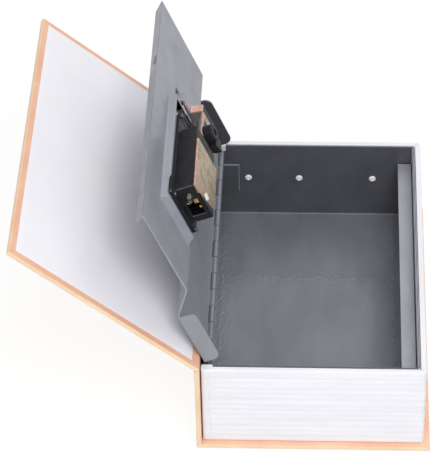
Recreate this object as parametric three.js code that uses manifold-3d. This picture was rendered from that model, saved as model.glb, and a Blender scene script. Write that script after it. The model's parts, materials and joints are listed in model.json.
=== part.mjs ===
// Book diversion safe, opened as it stands in use: a book case with a hinged front cover,
// a white page block round a steel tray, and a steel lid that carries a three-dial lock.
// Millimetres. +X runs from the spine to the fore edge, +Y from tail to head, +Z up.
// The origin is the centre of the back cover's underside.

import * as THREE from "three";
import { mergeVertices } from "three/addons/utils/BufferGeometryUtils.js";
import Module from "manifold-3d";

const wasm = await Module();
wasm.setup();

// Book case
const BOOK_LENGTH = 180;
const BOOK_WIDTH = 115;
const BOARD = 2.5;
const PAPER = 0.25;
const PAPER_MARGIN = 3.5;
const SPINE_GAP = 0.5;
const BOARD_SQUARE = 3;
const COVER_OPEN_DEG = 139;
const COVER_CLEARANCE = 1.1;

// Page block
const BLOCK_HEIGHT = 48.2;
const BLOCK_WALL = 2.8;
const BLOCK_CORNER = 2.2;
const LUG_WIDTH = 5.8;
const LUG_HEIGHT = 4;
const LUG_REACH = 4.6;
const PAGE_GROOVE = 0.5;
const PAGE_GROOVE_DEPTH = 0.45;
const PAGE_GROOVES = 11;
const PAGE_MARGIN = 4;
const PAGE_END_MARGIN = 3.4;

// Steel box
const SEAT = 0.3;
const CONTACT = 0.05;
const STEEL = 1;
const TRAY_TOP_DROP = 0.3;
const TRAY_SPINE_GAP = 1;
const TRAY_CORNER_TAB = 10.7;
const TRAY_TAB_RISE = 15.9;
const LEDGE_WIDTH = 7.3;
const LEDGE_DEPTH = 11.2;
const LEDGE_LEG = 12;
const LEDGE_END_GAP = 0.5;
const RIVET_HEAD = 1.9;
const RIVET_HEIGHT = 1;
const RIVET_SHANK = 0.8;
const RIVET_HOLE = 0.9;
const WALL_RIVETS_FROM_SPINE = [16.7, 43.9];
const WALL_RIVET_FROM_FORE = 21.8;
const WALL_RIVET_DROP = 22.1;
const LEAF_RIVETS = 4;
const LEDGE_RIVETS = 3;

// Hinge of the lid
const BARREL = 1.6;
const BARREL_BORE = 0.95;
const PIN = 0.75;
const HINGE_DROP = 0.7;
const KNUCKLES = 13;
const KNUCKLE_GAP = 0.35;
const BARREL_END_GAP = 4.7;
const LEAF_HEIGHT = 14;
const LEAF_WALL_GAP = 0.1;
const LID_OPEN_DEG = 112.2;

// Lid sheet, as it lies when shut: x from the hinge axis, z above it
const LID_END_GAP = 0.8;
const STEP_RUN = 14.5;
const LID_EDGE_GAP = 0.5;
const LIP_BACK = 4.1;
const LIP_RISE = 4.9;
const LIP_TAPER = 1.6;
const REST_GAP = 0.3;
const TAB_DEPTH = 8;
const TAB_START = 2;
const TAB_CORNER = 4;
const FIELD_RISE = 3.5;
const FIELD_SLOPE = 2;
const FIELD_START = 4.7;
const FIELD_EDGE = 17.8;
const FIELD_SIDE_MARGIN = 1;
const FIELD_MARGIN = 1;

// Lock, its near end measured from the lid's tail end
const LOCK_END = 32.6;
const BEZEL_INSET = 0.5;
const BEZEL_THICKNESS = 1.4;
const BEZEL_CORNER = 3;
const FLANGE_THICKNESS = 1.5;
const FLANGE_REACH = 3;
const FLANGE_CORNER = 2;
const FLANGE_TAIL = 10.8;
const FOOT_REACH = 2.4;
const FOOT_LENGTH = 12;
const HOUSING_WALL = 1.3;
const HOUSING_FLOOR = 0.9;
const HOUSING_END_MARGIN = 6;
const HOUSING_WINDOW_EDGE = 1.5;
const WELL_LENGTH = 13;
const WELL_ROOF = 0.6;
const DIALS = 3;
const DIAL_PITCH = 9;
const DIAL_RADIUS = 6.4;
const DIAL_WIDTH = 5;
const DIAL_PROUD = 1.4;
const DIAL_SIDE_GAP = 0.3;
const DIAL_END_GAP = 0.4;
const DIAL_FLOOR_GAP = 0.4;
const DETENT_ROOM = 1.5;
const SLEEVE_RADIUS = 2.4;
const CAM_RADIUS = 3.2;
const CAM_WIDTH = 1.3;
const AXLE = 1;
const WIRE = 0.35;
const RUNNING_GAP = 0.3;
const COVER_PLATE = 1;
const COVER_PLATE_LENGTH = 35.3;
const LOCK_SCREW_HEAD = 1.3;
const FENCE = 0.6;
const FENCE_GAP = 0.2;
const LOCK_SCREW_SHANK = 0.6;
const LOCK_SCREW_HOLE = 0.9;
const LOCK_SCREW_INSET = 1.5;

// Latch, shown drawn back
const LATCH_TRAVEL = 3;
const LATCH_THICKNESS = 1;
const LATCH_ZONE = 10;
const LATCH_DROP = 2.7;
const LATCH_LEFT_REACH = 13.2;
const LATCH_RIGHT_REACH = 4.1;
const LATCH_NEAR_REACH = 4.8;
const LATCH_CRANK_RUN = 1.2;
const LATCH_RISE_GAP = 1.8;
const LATCH_PASS = 14.4;
const LATCH_PASS_RUN = 1.8;
const TONGUE_START = 11;
const TONGUE_WIDTH = 5;
const TONGUE_SIDE_GAP = 0.5;
const TONGUE_EAR = 2;
const TONGUE_EAR_LENGTH = 8;
const THUMB_PLACE = 4;
const THUMB_INSET = 2.7;
const THUMB_LENGTH = 8;
const THUMB_WIDTH = 8;
const THUMB_HEIGHT = 1.6;
const SHANK = 3;
const SLOT_GAP = 0.4;
const CORNER_WINDOW_LENGTH = 9;
const CORNER_WINDOW_WIDTH = 16.5;
const STRAP_WIDTH = 4;
const STRAP_THICKNESS = 1;
const STRAP_BACK = 12;
const KNOB = 4.5;
const KNOB_HEIGHT = 5.3;
const BUTTON_RADIUS = 1.1;
const BUTTON_TRAVEL = 1.5;

// Places that follow from the sizes
const halfLength = BOOK_LENGTH / 2;
const halfWidth = BOOK_WIDTH / 2;
const blockHalfLength = halfLength - BOARD_SQUARE;
const blockRight = halfWidth - BOARD_SQUARE;
const blockLeft = -halfWidth + BOARD + SPINE_GAP;
const blockBottom = BOARD + PAPER + CONTACT;
const rim = blockBottom + BLOCK_HEIGHT;
const spineLeft = -halfWidth;
const trayRight = blockRight - BLOCK_WALL - SEAT;
const trayLeft = blockLeft + TRAY_SPINE_GAP;
const trayHalfLength = blockHalfLength - BLOCK_WALL - SEAT;
const trayTop = rim - TRAY_TOP_DROP;
const floorTop = blockBottom + STEEL;
const wallRivetPlaces = WALL_RIVETS_FROM_SPINE.map((run) => trayLeft + run)
  .concat(trayRight - WALL_RIVET_FROM_FORE);
const ledgeTop = rim - LEDGE_DEPTH;
const ledgeLeft = trayRight - STEEL - SEAT - LEDGE_WIDTH;
const ledgeRight = trayRight - STEEL - SEAT;

const leafLeft = trayLeft + STEEL + LEAF_WALL_GAP;
const hingeX = leafLeft + BARREL;
const hingeZ = rim - HINGE_DROP;
const lugInner = blockHalfLength - LUG_REACH;
const barrelHalfLength = lugInner - BARREL_END_GAP;
const knucklePitch = 2 * barrelHalfLength / KNUCKLES;
const lidHalfLength = Math.min(lugInner, trayHalfLength - STEEL) - LID_END_GAP + 0.5;

const flapZ = BARREL - STEEL / 2;
const panelZ = ledgeTop + REST_GAP + STEEL / 2 - hingeZ;
const lidReach = trayRight - STEEL - LID_EDGE_GAP - hingeX;
const lipAngle = Math.atan2(LIP_RISE, LIP_BACK);
const lipMitre = STEEL / 2 / Math.sin(lipAngle / 2);
const panelEnd = Math.sqrt(lidReach ** 2 - (panelZ - STEEL / 2) ** 2) - lipMitre;
const fieldZ = panelZ - FIELD_RISE;
const fieldTop = fieldZ + STEEL / 2;
const fieldBottom = fieldZ - STEEL / 2;
const fenceRoom = DIAL_SIDE_GAP + FENCE + LATCH_TRAVEL + FENCE_GAP;
const housingWidth = 2 * HOUSING_WALL + DETENT_ROOM + 2 * DIAL_RADIUS + fenceRoom;
const flangeWidth = housingWidth + 2 * FLANGE_REACH;
const bezelWidth = flangeWidth - 2 * BEZEL_INSET;
const fieldWidth = bezelWidth + 2 * FIELD_SIDE_MARGIN;
const fieldRight = panelEnd - FIELD_EDGE;
const fieldLeft = fieldRight - fieldWidth;
const fieldMiddle = (fieldLeft + fieldRight) / 2;
const panelStart = fieldLeft - FIELD_START;
const flapEnd = panelStart - STEP_RUN;
const panelTop = panelZ + STEEL / 2;
const panelBottom = panelZ - STEEL / 2;

const bezelTop = fieldTop + 0.1 + BEZEL_THICKNESS;
const flangeTop = fieldBottom - 0.1;
const flangeBottom = flangeTop - FLANGE_THICKNESS;
const bodyLeft = fieldMiddle - housingWidth / 2;
const bodyRight = fieldMiddle + housingWidth / 2;
const lockX = bodyLeft + HOUSING_WALL + DETENT_ROOM + DIAL_RADIUS;
const fenceLeft = lockX + DIAL_RADIUS + DIAL_SIDE_GAP;
const dialZ = bezelTop + DIAL_PROUD - DIAL_RADIUS;
const housingRoof = flangeTop - HOUSING_WALL;
const housingBottom = dialZ - DIAL_RADIUS - DIAL_FLOOR_GAP - HOUSING_FLOOR;
const housingHeight = flangeBottom - housingBottom;

const lockNear = -lidHalfLength + LOCK_END;
const bodyNear = lockNear + HOUSING_END_MARGIN;
const bearingNear = bodyNear + HOUSING_WALL + WELL_LENGTH;
const dialsNear = bearingNear + HOUSING_WALL + DIAL_END_GAP;
const dialsFar = dialsNear + DIALS * DIAL_PITCH;
const bearingFar = dialsFar + DIAL_END_GAP;
const bodyFar = bearingFar + HOUSING_WALL;
const flangeFar = bodyFar + FLANGE_TAIL;
const bezelFar = flangeFar + LATCH_ZONE;
const fieldNear = lockNear - FIELD_MARGIN;
const fieldFar = bezelFar + FIELD_MARGIN;

const thumbX = fieldLeft + THUMB_PLACE;
const thumbY = bezelFar - THUMB_INSET;
const latchTop = flangeBottom - LATCH_DROP + LATCH_THICKNESS / 2;
const latchBottom = latchTop - LATCH_THICKNESS;
const latchNear = thumbY - LATCH_NEAR_REACH;
const latchRight = thumbX + LATCH_RIGHT_REACH;
const latchTip = trayRight - hingeX - LATCH_TRAVEL + CONTACT;
const latchPassX = thumbX + LATCH_PASS;
const tongueNear = bezelFar + TONGUE_START;
const tongueFar = tongueNear + TONGUE_WIDTH;
const tongueBottom = panelTop + RUNNING_GAP;
const tongueTop = tongueBottom + LATCH_THICKNESS;

// Finishes
function finish(color, roughness, metalness) {
  return new THREE.MeshStandardMaterial({ color, roughness, metalness });
}

const cloth = () => finish("#e8ae86", 0.85, 0);
const paper = () => finish("#f1f1f4", 0.9, 0);
const pages = () => finish("#f4f4f2", 0.6, 0);
const hammered = () => finish("#7d818b", 0.45, 0.35);
const steel = () => finish("#b4b6ba", 0.35, 0.9);
const zinc = () => finish("#cdb98c", 0.35, 0.85);
const brass = () => finish("#c9a14c", 0.3, 0.9);
const black = () => finish("#1d1e21", 0.5, 0);
const ivory = () => finish("#e9e7de", 0.55, 0);

// Solids and joins

function toSolid(geometry) {
  const bare = geometry.clone();
  bare.deleteAttribute("normal");
  bare.deleteAttribute("uv");
  const merged = mergeVertices(bare, 1e-4);
  const solid = new wasm.Manifold(new wasm.Mesh({
    numProp: 3,
    vertProperties: new Float32Array(merged.attributes.position.array),
    triVerts: new Uint32Array(merged.index.array),
  }));
  return solid;
}

function toGeometry(solid) {
  const mesh = solid.getMesh();
  const geometry = new THREE.BufferGeometry();
  const positions = new Float32Array(mesh.numVert * 3);
  for (let vertex = 0; vertex < mesh.numVert; vertex += 1) {
    for (let axis = 0; axis < 3; axis += 1) {
      positions[vertex * 3 + axis] = mesh.vertProperties[vertex * mesh.numProp + axis];
    }
  }
  geometry.setAttribute("position", new THREE.BufferAttribute(positions, 3));
  geometry.setIndex(new THREE.BufferAttribute(new Uint32Array(mesh.triVerts), 1));
  geometry.computeVertexNormals();
  return geometry;
}

function box(x0, x1, y0, y1, z0, z1) {
  const geometry = new THREE.BoxGeometry(x1 - x0, y1 - y0, z1 - z0);
  geometry.translate((x0 + x1) / 2, (y0 + y1) / 2, (z0 + z1) / 2);
  return toSolid(geometry);
}

// A prism along Y from an outline in x and z
function prismY(outline, y0, y1, holes = []) {
  const shape = outline instanceof THREE.Shape ? outline : shapeOf(outline);
  for (const hole of holes) {
    shape.holes.push(hole);
  }
  const geometry = new THREE.ExtrudeGeometry(shape,
    { depth: y1 - y0, bevelEnabled: false, curveSegments: 6 });
  geometry.rotateX(Math.PI / 2);
  geometry.translate(0, y1, 0);
  return toSolid(geometry);
}

// A prism along Z from an outline in x and y
function prismZ(shape, z0, z1, segments = 4) {
  const geometry = new THREE.ExtrudeGeometry(shape,
    { depth: z1 - z0, bevelEnabled: false, curveSegments: segments });
  geometry.translate(0, 0, z0);
  return toSolid(geometry);
}

function shapeOf(points) {
  return new THREE.Shape(points.map(([a, b]) => new THREE.Vector2(a, b)));
}

function roundedRect(x0, x1, y0, y1, radius) {
  const shape = new THREE.Shape();
  shape.moveTo(x0 + radius, y0);
  shape.lineTo(x1 - radius, y0);
  shape.absarc(x1 - radius, y0 + radius, radius, -Math.PI / 2, 0, false);
  shape.lineTo(x1, y1 - radius);
  shape.absarc(x1 - radius, y1 - radius, radius, 0, Math.PI / 2, false);
  shape.lineTo(x0 + radius, y1);
  shape.absarc(x0 + radius, y1 - radius, radius, Math.PI / 2, Math.PI, false);
  shape.lineTo(x0, y0 + radius);
  shape.absarc(x0 + radius, y0 + radius, radius, Math.PI, Math.PI * 1.5, false);
  return shape;
}

function rodY(x, z, radius, y0, y1, sides = 16) {
  const geometry = new THREE.CylinderGeometry(radius, radius, y1 - y0, sides);
  geometry.translate(x, (y0 + y1) / 2, z);
  return toSolid(geometry);
}

function rodX(y, z, radius, x0, x1, sides = 16) {
  const geometry = new THREE.CylinderGeometry(radius, radius, x1 - x0, sides);
  geometry.rotateZ(Math.PI / 2);
  geometry.translate((x0 + x1) / 2, y, z);
  return toSolid(geometry);
}

function rodZ(x, y, radius, z0, z1, sides = 16) {
  const geometry = new THREE.CylinderGeometry(radius, radius, z1 - z0, sides);
  geometry.rotateX(Math.PI / 2);
  geometry.translate(x, y, (z0 + z1) / 2);
  return toSolid(geometry);
}

function turned(profile, segments = 16) {
  return new THREE.LatheGeometry(profile.map(([r, h]) => new THREE.Vector2(r, h)), segments);
}

function joined(solids) {
  return solids.reduce((whole, solid) => whole.add(solid));
}

function cut(solid, tools) {
  return tools.reduce((left, tool) => left.subtract(tool), solid);
}

// The outline of a bent sheet: the middle line moved half the thickness to either side, mitred
function sheetOutline(middle, thickness) {
  const sides = [[], []];
  middle.forEach((point, index) => {
    const before = middle[Math.max(index - 1, 0)];
    const after = middle[Math.min(index + 1, middle.length - 1)];
    const arrive = new THREE.Vector2(point[0] - before[0], point[1] - before[1]).normalize();
    const leave = new THREE.Vector2(after[0] - point[0], after[1] - point[1]).normalize();
    const from = index === 0 ? leave : arrive;
    const to = index === middle.length - 1 ? arrive : leave;
    const normal = new THREE.Vector2(-from.y - to.y, from.x + to.x).normalize();
    const reach = thickness / 2 / Math.max(normal.dot(new THREE.Vector2(-from.y, from.x)), 0.3);
    sides[0].push([point[0] + normal.x * reach, point[1] + normal.y * reach]);
    sides[1].push([point[0] - normal.x * reach, point[1] - normal.y * reach]);
  });
  return sides[0].concat(sides[1].reverse());
}

const book = new THREE.Group();
book.name = "book_diversion_safe";

const coverGroup = new THREE.Group();
const lidGroup = new THREE.Group();
book.add(coverGroup);
book.add(lidGroup);

function piece(name, solid, material, group = book) {
  const geometry = solid instanceof THREE.BufferGeometry ? solid : toGeometry(solid);
  const mesh = new THREE.Mesh(geometry, material);
  mesh.name = name;
  group.add(mesh);
  return mesh;
}

// Book case

const coverAxisX = spineLeft + BOARD / 2;
const coverAxisZ = rim + COVER_CLEARANCE + PAPER + 0.15 + BOARD / 2;
const spineTop = coverAxisZ - BOARD / 2 - SEAT;

function backCover() {
  const board = roundedRect(spineLeft, halfWidth, -halfLength, halfLength, 1);
  piece("back_cover_board", prismZ(board, 0, BOARD), cloth());
  const paperLeft = spineLeft + BOARD + PAPER_MARGIN;
  const paperRight = halfWidth - PAPER_MARGIN;
  const paperEnd = halfLength - PAPER_MARGIN;
  piece("back_endpaper",
    box(paperLeft, paperRight, -paperEnd, paperEnd, BOARD, BOARD + PAPER), paper());
}

function spine() {
  piece("spine_board", box(spineLeft, spineLeft + BOARD, -halfLength, halfLength, BOARD, spineTop), cloth());
}

// The cover lies along +X in its group, which turns about the joint line; its inner face looks down
function frontCover() {
  coverGroup.position.set(coverAxisX, 0, coverAxisZ);
  coverGroup.rotation.y = -COVER_OPEN_DEG * Math.PI / 180;
  const end = halfWidth - coverAxisX;
  const outline = new THREE.Shape();
  outline.moveTo(0, -BOARD / 2);
  outline.lineTo(end, -BOARD / 2);
  outline.lineTo(end, BOARD / 2);
  outline.lineTo(0, BOARD / 2);
  outline.absarc(0, 0, BOARD / 2, Math.PI / 2, Math.PI * 1.5, false);
  piece("front_cover_board", prismY(outline, -halfLength, halfLength), cloth(), coverGroup);
  const paperTop = -BOARD / 2 - CONTACT;
  piece("front_endpaper",
    box(BOARD + PAPER_MARGIN / 2, end - PAPER_MARGIN, -halfLength + PAPER_MARGIN,
      halfLength - PAPER_MARGIN, paperTop - PAPER, paperTop), paper(), coverGroup);
}

// Page block: head, fore-edge and tail walls, with a lug at each spine corner

function grooveHeights() {
  const heights = [];
  for (let index = 0; index < PAGE_GROOVES; index += 1) {
    const even = (index + 0.75) / (PAGE_GROOVES + 0.6);
    const uneven = 0.018 * Math.sin(index * 2.4 + 1);
    heights.push(blockBottom + BLOCK_HEIGHT * (even + uneven));
  }
  return heights;
}

function pageBlock() {
  const outer = roundedRect(blockLeft, blockRight, -blockHalfLength, blockHalfLength, BLOCK_CORNER);
  const inside = box(blockLeft - 1, blockRight - BLOCK_WALL,
    -blockHalfLength + BLOCK_WALL, blockHalfLength - BLOCK_WALL, 0, rim + 1);
  let block = prismZ(outer, blockBottom, rim).subtract(inside);
  for (const side of [-1, 1]) {
    const y0 = side * lugInner;
    const y1 = side * (blockHalfLength - BLOCK_WALL / 2);
    block = block.add(box(blockLeft, blockLeft + LUG_WIDTH,
      Math.min(y0, y1), Math.max(y0, y1), rim - LUG_HEIGHT, rim));
  }
  const coreEnd = blockHalfLength - PAGE_GROOVE_DEPTH;
  const core = box(blockLeft + PAGE_MARGIN, blockRight - PAGE_GROOVE_DEPTH, -coreEnd, coreEnd, 0, rim + 1);
  for (const z of grooveHeights()) {
    const ring = box(blockLeft + PAGE_MARGIN, blockRight + 1,
      -blockHalfLength - 1, blockHalfLength + 1, z, z + PAGE_GROOVE);
    block = block.subtract(ring.subtract(core));
  }
  for (const side of [-1, 1]) {
    const y0 = side * coreEnd;
    const y1 = side * (blockHalfLength + 1);
    block = block.subtract(box(blockLeft + PAGE_END_MARGIN, blockLeft + PAGE_MARGIN,
      Math.min(y0, y1), Math.max(y0, y1), blockBottom + PAGE_MARGIN / 2, rim - PAGE_MARGIN / 2));
  }
  piece("page_block_frame", block, pages());
}

// Steel tray, its corners cut down under the lugs, with a folded tab inside each spine corner

function tray() {
  const outer = box(trayLeft, trayRight, -trayHalfLength, trayHalfLength, blockBottom, trayTop);
  const inner = box(trayLeft + STEEL, trayRight - STEEL,
    -trayHalfLength + STEEL, trayHalfLength - STEEL, floorTop, rim + 1);
  const spineWallTop = hingeZ - BARREL + 0.2;
  const cuts = [box(trayLeft - 1, trayLeft + STEEL + 0.05, -blockHalfLength, blockHalfLength,
    spineWallTop, rim + 1)];
  const tabs = [];
  for (const side of [-1, 1]) {
    const y0 = side * (lugInner - SEAT);
    const y1 = side * (blockHalfLength + 1);
    cuts.push(box(trayLeft - 1, blockLeft + LUG_WIDTH + SEAT,
      Math.min(y0, y1), Math.max(y0, y1), rim - LUG_HEIGHT - SEAT, rim + 1));
    const t0 = side * (trayHalfLength - STEEL - 0.8);
    const t1 = side * (trayHalfLength - STEEL / 2);
    tabs.push(box(trayLeft + STEEL / 2, trayLeft + STEEL + TRAY_CORNER_TAB,
      Math.min(t0, t1), Math.max(t0, t1), floorTop + TRAY_TAB_RISE, rim - LEDGE_DEPTH - 2));
  }
  const holes = [];
  for (const y of rivetRow(LEAF_RIVETS, barrelHalfLength)) {
    holes.push(rodX(y, leafRivetZ(), RIVET_HOLE, trayLeft - 1, trayLeft + STEEL + 1, 10));
  }
  for (const y of rivetRow(LEDGE_RIVETS, trayHalfLength)) {
    holes.push(rodX(y, ledgeRivetZ(), RIVET_HOLE, trayRight - STEEL - 1, trayRight + 1, 10));
  }
  for (const side of [-1, 1]) {
    for (const x of wallRivetPlaces) {
      const y0 = side * (trayHalfLength - STEEL - 1);
      const y1 = side * (trayHalfLength + 1);
      holes.push(rodY(x, rim - WALL_RIVET_DROP, RIVET_HOLE, Math.min(y0, y1), Math.max(y0, y1), 10));
    }
  }
  holes.push(box(trayRight - STEEL - 1, trayRight + 1,
    tongueNear - TONGUE_SIDE_GAP, tongueFar + TONGUE_SIDE_GAP,
    hingeZ + tongueBottom - SLOT_GAP, hingeZ + tongueTop + SLOT_GAP));
  piece("steel_tray", cut(joined([outer.subtract(inner), ...tabs]), [...cuts, ...holes]), hammered());
}

function rivetRow(count, half) {
  const places = [];
  for (let index = 0; index < count; index += 1) {
    places.push(half * (2 * index + 1 - count) / count);
  }
  return places;
}

function leafRivetZ() {
  return hingeZ - LEAF_HEIGHT + 4;
}

function ledgeRivetZ() {
  return ledgeTop - LEDGE_LEG / 2;
}

// A rivet along +Z from its shank's end, with a domed head
function rivet(shankLength) {
  return turned([
    [0, 0],
    [RIVET_SHANK, 0],
    [RIVET_SHANK, shankLength],
    [RIVET_HEAD, shankLength],
    [RIVET_HEAD * 0.82, shankLength + RIVET_HEIGHT * 0.6],
    [RIVET_HEAD * 0.4, shankLength + RIVET_HEIGHT],
    [0, shankLength + RIVET_HEIGHT],
  ], 12);
}

function wallRivets() {
  for (const [end, side] of [["tail", -1], ["head", 1]]) {
    wallRivetPlaces.forEach((x, index) => {
      const shank = STEEL + CONTACT;
      const mesh = piece(`${end}_rivet_${index + 1}`, rivet(shank), steel());
      mesh.rotation.x = side > 0 ? Math.PI : 0;
      mesh.position.set(x, side * trayHalfLength, rim - WALL_RIVET_DROP);
    });
  }
  rivetRow(LEAF_RIVETS, barrelHalfLength).forEach((y, index) => {
    const mesh = piece(`leaf_rivet_${index + 1}`, rivet(2 * STEEL + LEAF_WALL_GAP + CONTACT), steel());
    mesh.rotation.z = -Math.PI / 2;
    mesh.position.set(trayLeft, y, leafRivetZ());
  });
  rivetRow(LEDGE_RIVETS, trayHalfLength).forEach((y, index) => {
    const mesh = piece(`ledge_rivet_${index + 1}`, rivet(2 * STEEL + SEAT + CONTACT), steel());
    mesh.rotation.z = Math.PI / 2;
    mesh.position.set(trayRight, y, ledgeRivetZ());
  });
}

function strikeLedge() {
  const half = trayHalfLength - STEEL - LEDGE_END_GAP;
  const flange = box(ledgeLeft, ledgeRight, -half, half, ledgeTop - STEEL, ledgeTop);
  const leg = box(ledgeRight - STEEL, ledgeRight, -half, half, ledgeTop - LEDGE_LEG, ledgeTop);
  const holes = rivetRow(LEDGE_RIVETS, trayHalfLength).map((y) => (
    rodX(y, ledgeRivetZ(), RIVET_HOLE, ledgeRight - STEEL - 1, ledgeRight + 1, 10)));
  piece("strike_ledge", cut(flange.add(leg), holes), hammered());
}

// Hinge

function knuckleSpan(index) {
  const start = -barrelHalfLength + index * knucklePitch;
  return [start + KNUCKLE_GAP / 2, start + knucklePitch - KNUCKLE_GAP / 2];
}

function knuckle(index, x, z) {
  const [y0, y1] = knuckleSpan(index);
  return [rodY(x, z, BARREL, y0, y1, 20), rodY(x, z, BARREL_BORE, y0 - 1, y1 + 1, 12)];
}

function boxLeaf() {
  let leaf = box(leafLeft, leafLeft + STEEL, -barrelHalfLength, barrelHalfLength,
    hingeZ - LEAF_HEIGHT, hingeZ);
  const bores = [];
  for (let index = 0; index < KNUCKLES; index += 1) {
    const [y0, y1] = knuckleSpan(index);
    if (index % 2 === 1) {
      leaf = leaf.subtract(box(leafLeft - 1, leafLeft + STEEL + 1, y0 - KNUCKLE_GAP, y1 + KNUCKLE_GAP,
        hingeZ - BARREL - 0.4, hingeZ + 1));
    } else {
      const [tube, bore] = knuckle(index, hingeX, hingeZ);
      leaf = leaf.add(tube);
      bores.push(bore);
    }
  }
  for (const y of rivetRow(LEAF_RIVETS, barrelHalfLength)) {
    bores.push(rodX(y, leafRivetZ(), RIVET_HOLE, leafLeft - 1, leafLeft + STEEL + 1, 10));
  }
  piece("box_hinge_leaf", cut(leaf, bores), hammered());
  piece("hinge_pin", rodY(hingeX, hingeZ, PIN, -barrelHalfLength - 0.5, barrelHalfLength + 0.5, 12), steel());
}

// Lid sheet

// A block that narrows towards -Z, the punch that forms the lock's field
function punch(grow, z0, z1) {
  const slope = FIELD_SLOPE / FIELD_RISE;
  const outline = (z) => {
    const spread = grow + (z - fieldZ) * slope;
    return [fieldLeft - spread, fieldRight + spread, fieldNear - spread, fieldFar + spread];
  };
  const [low, high] = [outline(z0), outline(z1)];
  const geometry = new THREE.BoxGeometry(2, 2, 2);
  const position = geometry.attributes.position;
  for (let vertex = 0; vertex < position.count; vertex += 1) {
    const [left, right, near, far] = position.getZ(vertex) < 0 ? low : high;
    const x = position.getX(vertex) < 0 ? left : right;
    const y = position.getY(vertex) < 0 ? near : far;
    position.setXYZ(vertex, x, y, position.getZ(vertex) < 0 ? z0 : z1);
  }
  return toSolid(geometry);
}

function endTab(side) {
  const shape = new THREE.Shape();
  const top = flapZ;
  const low = flapZ - STEEL / 2 - TAB_DEPTH;
  const end = flapEnd - LID_END_GAP;
  shape.moveTo(TAB_START, top);
  shape.lineTo(TAB_START, low + TAB_CORNER);
  shape.absarc(TAB_START + TAB_CORNER, low + TAB_CORNER, TAB_CORNER, Math.PI, Math.PI * 1.5, false);
  shape.lineTo(end - TAB_CORNER, low);
  shape.absarc(end - TAB_CORNER, low + TAB_CORNER, TAB_CORNER, Math.PI * 1.5, Math.PI * 2, false);
  shape.lineTo(end, top);
  const y0 = side > 0 ? lidHalfLength - STEEL : -lidHalfLength;
  return prismY(shape, y0, y0 + STEEL);
}

function lidPanel() {
  const middle = [
    [TAB_START, flapZ],
    [flapEnd, flapZ],
    [panelStart, panelZ],
    [panelEnd, panelZ],
    [panelEnd - LIP_BACK, panelZ + LIP_RISE],
  ];
  let lid = prismY(sheetOutline(middle, STEEL), -lidHalfLength, lidHalfLength);
  const lipCorner = [];
  for (const side of [-1, 1]) {
    const edge = side * (lidHalfLength + 1);
    const slant = side * (lidHalfLength - LIP_TAPER);
    const wedge = shapeOf([
      [panelZ + STEEL, side * lidHalfLength],
      [panelZ + LIP_RISE + 2, slant],
      [panelZ + LIP_RISE + 2, edge],
      [panelZ + STEEL, edge],
    ]);
    const depth = 3 * LIP_BACK;
    const geometry = new THREE.ExtrudeGeometry(wedge, { depth, bevelEnabled: false });
    const turn = new THREE.Matrix4().makeBasis(
      new THREE.Vector3(0, 0, 1), new THREE.Vector3(0, 1, 0), new THREE.Vector3(-1, 0, 0));
    geometry.applyMatrix4(turn);
    geometry.translate(panelEnd + LIP_BACK, 0, 0);
    lipCorner.push(toSolid(geometry));
  }
  lid = joined([lid, endTab(-1), endTab(1), punch(STEEL, fieldBottom, panelZ)]);
  lid = cut(lid, [punch(0, fieldTop, panelZ + STEEL), ...lipCorner]);
  const bores = [];
  for (let index = 0; index < KNUCKLES; index += 1) {
    if (index % 2 === 1) {
      const [y0, y1] = knuckleSpan(index);
      const [tube, bore] = knuckle(index, 0, 0);
      lid = joined([lid, tube, box(0, TAB_START + 0.5, y0, y1, flapZ - STEEL / 2, flapZ + STEEL / 2)]);
      bores.push(bore);
    }
  }
  bores.push(trainWindow(fieldBottom - 1, fieldTop + 1));
  bores.push(shankSlot(fieldBottom - 1, fieldTop + 1));
  bores.push(box(fieldRight - CORNER_WINDOW_WIDTH, fieldRight, fieldFar - FIELD_MARGIN - CORNER_WINDOW_LENGTH,
    fieldFar - FIELD_MARGIN, fieldBottom - 1, fieldTop + 1));
  bores.push(box(latchPassX - SLOT_GAP / 2, latchPassX + LATCH_PASS_RUN + LATCH_TRAVEL + SLOT_GAP * 2,
    tongueNear - TONGUE_SIDE_GAP, tongueFar + TONGUE_SIDE_GAP, panelBottom - 1, panelTop + 1));
  bores.push(box(panelEnd - LIP_BACK, panelEnd + 1, tongueNear - TONGUE_SIDE_GAP,
    tongueFar + TONGUE_SIDE_GAP, panelTop, tongueTop + SLOT_GAP));
  for (const [x, y] of lockScrewPlaces()) {
    bores.push(rodZ(x, y, LOCK_SCREW_HOLE, fieldBottom - 1, fieldTop + 1, 10));
  }
  piece("lid_panel", cut(lid, bores), hammered(), lidGroup);
}

// Lock

function dialY(index) {
  return dialsNear + (index + 0.5) * DIAL_PITCH;
}

function dialSlot(index, z0, z1) {
  const half = Math.sqrt(DIAL_RADIUS ** 2 - (fieldBottom - dialZ) ** 2) + 0.5;
  const halfWide = DIAL_WIDTH / 2 + DIAL_SIDE_GAP;
  return box(lockX - half, lockX + half, dialY(index) - halfWide, dialY(index) + halfWide, z0, z1);
}

// The one opening behind all the dials, in the lid sheet and in the housing's roof
function trainWindow(z0, z1) {
  const half = DIAL_RADIUS + DIAL_SIDE_GAP;
  return box(lockX - half, lockX + half, dialsNear - 0.3, dialsFar + 0.3, z0, z1);
}

// The slot that the thumb slide's shank runs in
function shankSlot(z0, z1) {
  const half = SHANK / 2 + SLOT_GAP;
  return box(thumbX - half, thumbX + LATCH_TRAVEL + half, thumbY - half, thumbY + half, z0, z1);
}

function lockScrewPlaces() {
  const left = fieldMiddle - flangeWidth / 2 + LOCK_SCREW_INSET;
  const right = fieldMiddle + flangeWidth / 2 - LOCK_SCREW_INSET;
  const near = lockNear + LOCK_SCREW_INSET;
  const far = flangeFar - LOCK_SCREW_INSET;
  return [[left, near], [right, near], [left, far], [right, far]];
}

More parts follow.
